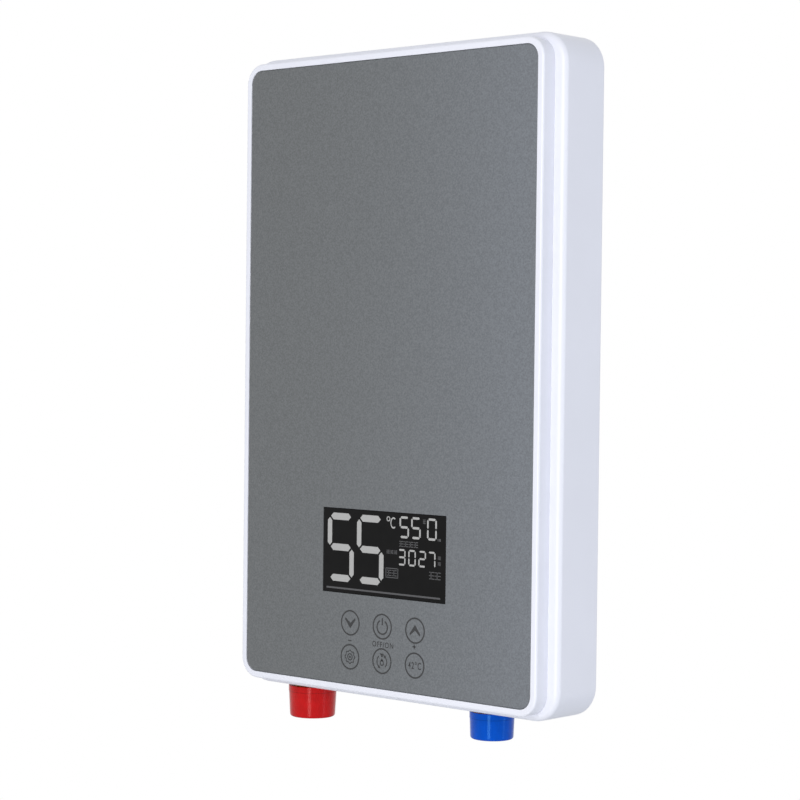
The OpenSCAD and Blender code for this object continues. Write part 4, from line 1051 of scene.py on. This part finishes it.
figures = bmesh.new()
for row in ROWS:
    for figure, start in zip(row["figures"], row["starts"]):
        digit(figures, figure, start, row["top"], row["width"], row["height"], row["stroke"])
circle_line(figures, *lcd(*DEGREE["spot"]), DEGREE["radius"], DEGREE["line"])
arc_line(figures, *lcd(*LETTER_C["spot"]), LETTER_C["radius"], LETTER_C["line"], LETTER_C["start"],
         LETTER_C["sweep"], LETTER_C["tall"])
raise_print("display_digits", figures, LCD_THICKNESS, lit_bars, "black_lens")

# %% [markdown]
# Beside the numbers the display has small dim signs. They are kept generic: rows of blocks, a boxed sign and
# a thin line along the bottom that shows how hard the heater works.

# %% Dim signs of the display
BLOCK_ROWS = [
    {"start": (53.9, 14.3), "count": 4, "step": 3.3, "size": (2.9, 2.9)},
    {"start": (45.2, 19.4), "count": 3, "step": 2.6, "size": (2.0, 1.9)},
    {"start": (74.4, 28.6), "count": 2, "step": 4.1, "size": (3.6, 3.8)},
    {"start": (80.2, 20.5), "count": 1, "step": 1, "size": (1.8, 1.7)},
    {"start": (80.2, 23.4), "count": 1, "step": 1, "size": (1.8, 1.7)},
    {"start": (79.9, 11.6), "count": 1, "step": 1, "size": (2.0, 1.3)},
    {"start": (69.9, 2.4), "count": 1, "step": 1, "size": (1.7, 2.2)},
    {"start": (45.6, 29.6), "count": 2, "step": 3.6, "size": (3.1, 3.1)},
]
SIGN_LINE = 0.42
UPRIGHT_PLACE = 0.36
BOX = (44.8, 28.8, 8.3, 4.7)
TRAIL = (2.6, 41.3, 79.4, 0.9)


def block_sign(bm, u, v, width, height):
    """A tiny sign: a block of three level lines and one upright."""
    for level in (0, 0.5, 1):
        mid = lcd(u + width / 2, v + SIGN_LINE / 2 + level * (height - SIGN_LINE))
        bar(bm, *mid, width * MM, SIGN_LINE * MM)
    bar(bm, *lcd(u + width * UPRIGHT_PLACE, v + height / 2), height * MM, SIGN_LINE * MM, 90)


def frame_sign(bm, u, v, width, height):
    """A thin box."""
    for edge in (0, 1):
        bar(bm, *lcd(u + width / 2, v + edge * height), (width + SIGN_LINE) * MM, SIGN_LINE * MM)
        bar(bm, *lcd(u + edge * width, v + height / 2), height * MM, SIGN_LINE * MM, 90)


signs = bmesh.new()
for row in BLOCK_ROWS:
    for k in range(row["count"]):
        block_sign(signs, row["start"][0] + k * row["step"], row["start"][1], *row["size"])
frame_sign(signs, *BOX)
bar(signs, *lcd(TRAIL[0] + TRAIL[2] / 2, TRAIL[1] + TRAIL[3] / 2), TRAIL[2] * MM, TRAIL[3] * MM)
raise_print("display_signs", signs, LCD_THICKNESS, dim_bars, "black_lens")

# %% [markdown]
# Six touch keys are printed on the glass, each a thin ring with a sign in it: colder, on and off, warmer,
# settings, water saving and the fixed bath temperature. The rings sit over the touch pads of the frame, so
# their places come from those pads.

# %% Rings of the keys
KEY_RADIUS = 6.3 * MM
KEY_LINE = 0.82 * MM

left_x, mid_x, right_x = key_columns
high_up, low_up = key_rows
keys = bmesh.new()
for x in key_columns:
    for up in key_rows:
        circle_line(keys, x, up, KEY_RADIUS, KEY_LINE)
print("key rings:", len(key_columns) * len(key_rows))

# %% [markdown]
# The upper keys have the boldest signs. An arrow is one patch of six corners, and turned by half a circle it
# points up. The sign for on and off is an arc that is open at the top, with a bar in the opening.

# %% Signs of the upper keys
ARROW = [(0, -2.9), (3.7, 1.7), (3.4, 2.7), (0, 0), (-3.4, 2.7), (-3.7, 1.7)]
POWER = {"radius": 3.6 * MM, "start": 118, "sweep": 304}
POWER_LOW = 0.3 * MM
POWER_BAR = 3.6 * MM
POWER_BAR_UP = 2.6 * MM

patch(keys, left_x, high_up, ARROW)
patch(keys, right_x, high_up, ARROW, turn=180)
arc_line(keys, mid_x, high_up - POWER_LOW, POWER["radius"], KEY_LINE, POWER["start"], POWER["sweep"])
bar(keys, mid_x, high_up + POWER_BAR_UP, POWER_BAR, KEY_LINE, turn=90)
print("corners with the upper signs:", len(keys.verts))

# %% [markdown]
# The lower keys are drawn with a thinner line. Settings is a cog, which is a circle whose radius waves round
# it eight times. Water saving is a tap over a drop, between two arrows that chase each other. The bath
# temperature is a short word.

# %% Signs of the lower keys
SIGN_STROKE = 0.62 * MM
COG = {"radius": 3.2 * MM, "wave": 0.09, "waves": 8}
COG_HOLE = 0.35 * MM
CHASE = {"radius": 3.4 * MM, "starts": (128, 308), "sweep": 100}
CHASE_LOW = 0.3 * MM
HEAD = [(0, 1.1), (1.0, -0.7), (-1.0, -0.7)]
HEAD_AHEAD = 10
DROP_RADIUS = 1.15 * MM
DROP_LOW = 1.0 * MM
DROP_TIP = [(-0.95, 0), (0.95, 0), (0, 1.5)]
TAP_TOP = {"up": 3.6 * MM, "length": 2.6 * MM}
TAP_BODY = {"up": 2.8 * MM, "length": 1.4 * MM, "width": 1.2 * MM}
BATH_WORD = {"width": 8.8 * MM, "height": 3.9 * MM}

circle_line(keys, left_x, low_up, line=SIGN_STROKE, **COG)
for radius in (COG["radius"] / 2, COG_HOLE):
    circle_line(keys, left_x, low_up, radius, SIGN_STROKE)
for start in CHASE["starts"]:
    chase_up = low_up - CHASE_LOW
    arc_line(keys, mid_x, chase_up, CHASE["radius"], SIGN_STROKE, start, CHASE["sweep"])
    turn = start + CHASE["sweep"] + HEAD_AHEAD
    tip_x = mid_x + CHASE["radius"] * math.cos(math.radians(turn))
    tip_up = chase_up + CHASE["radius"] * math.sin(math.radians(turn))
    patch(keys, tip_x, tip_up, HEAD, turn)
circle_line(keys, mid_x, low_up - DROP_LOW, DROP_RADIUS, SIGN_STROKE)
patch(keys, mid_x, low_up - DROP_LOW + DROP_RADIUS, DROP_TIP)
bar(keys, mid_x, low_up + TAP_TOP["up"], TAP_TOP["length"], SIGN_STROKE)
bar(keys, mid_x, low_up + TAP_BODY["up"], TAP_BODY["length"], TAP_BODY["width"])
words(keys, "42°C", right_x, low_up, **BATH_WORD)
print("corners with the lower signs:", len(keys.verts))

# %% [markdown]
# Between the two rows of keys stand the word for off and on, a minus under the key for colder and a plus
# under the key for warmer. Then the print is complete, and it is raised by the thickness of a layer of ink.

# %% Print between the keys
PRINT_LOW = 0.4 * MM
SWITCH_WORD = {"width": 14.6 * MM, "height": 2.9 * MM}
SWITCH_RIGHT = 0.5 * MM
MINUS = 2.4 * MM
MINUS_LEFT = 0.2 * MM
PLUS = 2.2 * MM
PLUS_LEFT = 0.4 * MM
PLUS_UP = 1.0 * MM
INK_THICKNESS = 0.03 * MM

between_up = (high_up + low_up) / 2 - PRINT_LOW
words(keys, "OFF/ON", mid_x + SWITCH_RIGHT, between_up, **SWITCH_WORD)
bar(keys, left_x - MINUS_LEFT, between_up, MINUS, SIGN_STROKE)
for turn in (0, 90):
    bar(keys, right_x - PLUS_LEFT, between_up + PLUS_UP, PLUS, SIGN_STROKE, turn)
raise_print("key_print", keys, INK_THICKNESS, key_ink, "panel_glass")

# %% [markdown]
# Caps, connections, the cable's ring and the screws are turned shapes. The half section is drawn once as a
# line of points, its corners are rounded by a bevel of single points, and a spin of a full turn makes the
# body. A Screw modifier could do the same, but the operator leaves a plain mesh.

# %% Helper for turned pieces
ROUND_STEPS = 5
SPIN_STEPS = 96


def turned(bm, points, rounds, spot=(0, 0), closed=False, steps=SPIN_STEPS):
    """Spins a half section of (radius, height) points about Z. Rounds are pairs of a point and a radius."""
    made = bmesh.new()
    corners = [made.verts.new((radius, 0, height)) for radius, height in points]
    pairs = list(zip(corners, corners[1:]))
    if closed:
        pairs.append((corners[-1], corners[0]))
    for pair in pairs:
        made.edges.new(pair)
    for number, radius in rounds:
        bmesh.ops.bevel(made, geom=[corners[number]], offset=radius, segments=ROUND_STEPS, profile=0.5,
                        affect="VERTICES", material=-1)
    bmesh.ops.spin(made, geom=made.verts[:] + made.edges[:], axis=(0, 0, 1), cent=(0, 0, 0),
                   angle=2 * math.pi, steps=steps, use_merge=True)
    clean(made)
    bmesh.ops.translate(made, vec=(*spot, 0), verts=made.verts)
    data = bpy.data.meshes.new("turned")
    made.to_mesh(data)
    made.free()
    bm.from_mesh(data)
    bpy.data.meshes.remove(data)


print("turning helper ready")

# %% [markdown]
# Each cap is a cup with a collar round its mouth and a rounded base. The cups are a little narrower at the
# base, so that they leave their mould. Three shallow grooves round each cup are part of the section.

# %% Caps
CAP_FLOOR = 1 * MM
COLLAR_H = 3.2 * MM
COLLAR_STEP = 0.15 * MM
CAP_ROUND = 1.2 * MM
COLLAR_FOOT_ROUND = 0.07 * MM
COLLAR_ROUND = 0.3 * MM
CAP_MOUTH_ROUND = 0.2 * MM
CAP_FIT = 0.1 * MM
GROOVE = 0.05 * MM
GROOVE_SHARES = (0.35, 0.58, 0.81)


def cap(name, node, finish, slot, draft):
    """A slip-on cap that fills its node's box. Its draft makes it narrower at the base."""
    low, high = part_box(node)
    mouth_r = (high.x - low.x) / 2
    body_r = mouth_r - COLLAR_STEP
    base_r = body_r - draft
    bore_r = THREAD_D / 2 + CAP_FIT
    collar_foot = high.z - COLLAR_H
    wall = collar_foot - low.z
    points = [(0, low.z), (base_r, low.z)]
    for share in GROOVE_SHARES:
        height, radius = low.z + share * wall, base_r + share * draft
        points += [(radius, height - 2 * GROOVE), (radius - GROOVE, height), (radius, height + 2 * GROOVE)]
    points += [(body_r, collar_foot), (mouth_r, collar_foot), (mouth_r, high.z), (bore_r, high.z),
               (bore_r, low.z + CAP_FLOOR), (0, low.z + CAP_FLOOR)]
    rounds = [(1, CAP_ROUND), (-5, COLLAR_FOOT_ROUND), (-4, COLLAR_ROUND), (-3, CAP_MOUTH_ROUND)]
    bm = bmesh.new()
    turned(bm, points, rounds, spot=((low.x + high.x) / 2, (low.y + high.y) / 2))
    finish_piece(to_object(name, bm), finish, node, slot, node)


cap("hot_cap", "red_cap", red_plastic, "red_plastic", draft=0.75 * MM)
cap("cold_cap", "blue_cap", blue_plastic, "blue_plastic", draft=0.4 * MM)

# %% [markdown]
# Under each cap is a brass connection with a pipe thread. A real thread climbs, so one tooth of it is spun
# round the axis while it rises by one pitch each turn. The shank and the neck for the water column are one
# turned section, and the thread and the six-sided collar inside the case are joined to it with Booleans.

# %% Water connections
PITCH = 1.814 * MM
ROOT_D = 18.631 * MM
THREAD_TURNS = 5
BORE_D = 13 * MM
HEX_T = 5 * MM
HEX_FLATS = 25 * MM
NECK_D = 19.4 * MM
SEAL_GROOVE_D = 16.6 * MM
SEAL_GROOVE_H = 1.7 * MM
BORE_ROUND = 0.4 * MM
END_ROUND = 0.5 * MM
NECK_ROUND = 0.6 * MM
TOOTH_SUNK = 0.1 * MM
TOOTH_START = 0.3 * PITCH
TOOTH_RISES = (0, 0.42 * PITCH, 0.54 * PITCH, 0.96 * PITCH)
TOOTH_STEPS = 48
HEX_SIDES = 6
BORE_PAST = 1.5 * HEX_T


def connection(name, node):
    """A threaded brass connection that fills its node's box."""
    low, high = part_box(node)
    root_r, bore_r, neck_r = ROOT_D / 2, BORE_D / 2, NECK_D / 2
    thread_top = low.z + (THREAD_TURNS + 1) * PITCH
    collar_low = case_bottom + WALL
    collar_top = collar_low + HEX_T
    groove_mid = (collar_top + high.z) / 2
    groove_low, groove_high = groove_mid - SEAL_GROOVE_H / 2, groove_mid + SEAL_GROOVE_H / 2
    points = [(bore_r, low.z), (root_r, low.z), (root_r, thread_top), (THREAD_D / 2, thread_top + PITCH / 2),
              (THREAD_D / 2, collar_low + HEX_T / 2), (neck_r, collar_low + HEX_T / 2), (neck_r, groove_low),
              (SEAL_GROOVE_D / 2, groove_low), (SEAL_GROOVE_D / 2, groove_high), (neck_r, groove_high),
              (neck_r, high.z), (bore_r, high.z)]
    shank = bmesh.new()
    turned(shank, points, [(0, BORE_ROUND), (1, END_ROUND), (-2, NECK_ROUND)], closed=True)
    piece = to_object(name, shank)

    tooth = bmesh.new()
    foot_r, crest_r = root_r - TOOTH_SUNK, THREAD_D / 2
    section = zip((foot_r, crest_r, crest_r, foot_r), TOOTH_RISES)
    corners = [tooth.verts.new((radius, 0, low.z + TOOTH_START + rise)) for radius, rise in section]
    edges = [tooth.edges.new(pair) for pair in zip(corners, corners[1:] + corners[:1])]
    bmesh.ops.spin(tooth, geom=corners + edges, axis=(0, 0, 1), cent=(0, 0, 0),
                   dvec=(0, 0, PITCH / TOOTH_STEPS), angle=2 * math.pi * THREAD_TURNS,
                   steps=TOOTH_STEPS * THREAD_TURNS)
    bmesh.ops.holes_fill(tooth, edges=tooth.edges[:], sides=4)
    carve(piece, "UNION", tooth)

    collar, bore = bmesh.new(), bmesh.new()
    drum(collar, 0, 0, collar_low, collar_top, 2 * HEX_FLATS / math.sqrt(3), HEX_SIDES)
    carve(piece, "UNION", collar)
    drum(bore, 0, 0, collar_low - BORE_PAST, collar_top + BORE_PAST, BORE_D, SPIN_STEPS)
    carve(piece, "DIFFERENCE", bore)
    spot = Matrix.Translation(((low.x + high.x) / 2, (low.y + high.y) / 2, 0))
    finish_piece(piece, finishes["brass"], "heater", "brass", node, turn=spot)


connection("hot_connection", "outlet_fitting")
connection("cold_connection", "inlet_fitting")

# %% [markdown]
# On the back there is a rubber ring where the mains cable enters. Its neck fills the hole of the back plate
# and its flange lies inside. It could be a stack of a torus and cylinders, but one turned section with round
# lips has no seams.

# %% Cable ring
GROMMET_BORE = 10 * MM
GROMMET_FLANGE_T = 2 * MM
GROMMET_FIT = 0.1 * MM
LIP_ROUND = 0.9 * MM
RUBBER_ROUND = 0.5 * MM
FLANGE_ROUND = 0.7 * MM

ring_back, ring_front = -cable_high.y, -cable_low.y
flange_r = (cable_high.x - cable_low.x) / 2
neck_r = CABLE_HOLE_D / 2 - GROMMET_FIT
flange_back = ring_front - GROMMET_FLANGE_T
ring_points = [(GROMMET_BORE / 2, ring_back), (neck_r, ring_back), (neck_r, flange_back),
               (flange_r, flange_back), (flange_r, ring_front), (GROMMET_BORE / 2, ring_front)]
ring_rounds = [(0, LIP_ROUND), (1, RUBBER_ROUND), (3, RUBBER_ROUND), (4, FLANGE_ROUND), (5, LIP_ROUND)]
ring_mesh = bmesh.new()
turned(ring_mesh, ring_points, ring_rounds, spot=(cable_x, cable_up), closed=True)
finish_piece(to_object("cable_ring", ring_mesh), finishes["rubber"], "heater", "rubber", "cable_grommet",
             turn=STAND)

# %% [markdown]
# Four screws sit deep in the holes of the back and hold the case together. They are turned too, and a cross
# of two bars is cut into each head. Their own thread is hidden in the posts, so the shank stays plain.

# %% Case screws
HEAD_H = 2 * MM
HEAD_ROUND = 0.8 * MM
TIP_ROUND = 0.5 * MM
SCREW_STEPS = 48
CROSS_LENGTH = 3.3 * MM
CROSS_WIDTH = 0.75 * MM
CROSS_DEPTH = 1.1 * MM

head_back, screw_end = -screw_high.y, -screw_low.y
screw_points = [(0, head_back), (HEAD_D / 2, head_back), (HEAD_D / 2, head_back + HEAD_H),
                (SCREW_D / 2, head_back + HEAD_H), (SCREW_D / 2, screw_end), (0, screw_end)]
screws, crosses = bmesh.new(), bmesh.new()
for x, up in screw_spots:
    turned(screws, screw_points, [(1, HEAD_ROUND), (4, TIP_ROUND)], spot=(x, up), steps=SCREW_STEPS)
    for width, height in ((CROSS_LENGTH, CROSS_WIDTH), (CROSS_WIDTH, CROSS_LENGTH)):
        brick(crosses, x, up, width, height, head_back - PAST, head_back + CROSS_DEPTH)
case_screws = to_object("case_screws", screws)
carve(case_screws, "DIFFERENCE", crosses)
finish_piece(case_screws, finishes["steel"], "heater", "steel", "cover_screws", turn=STAND)
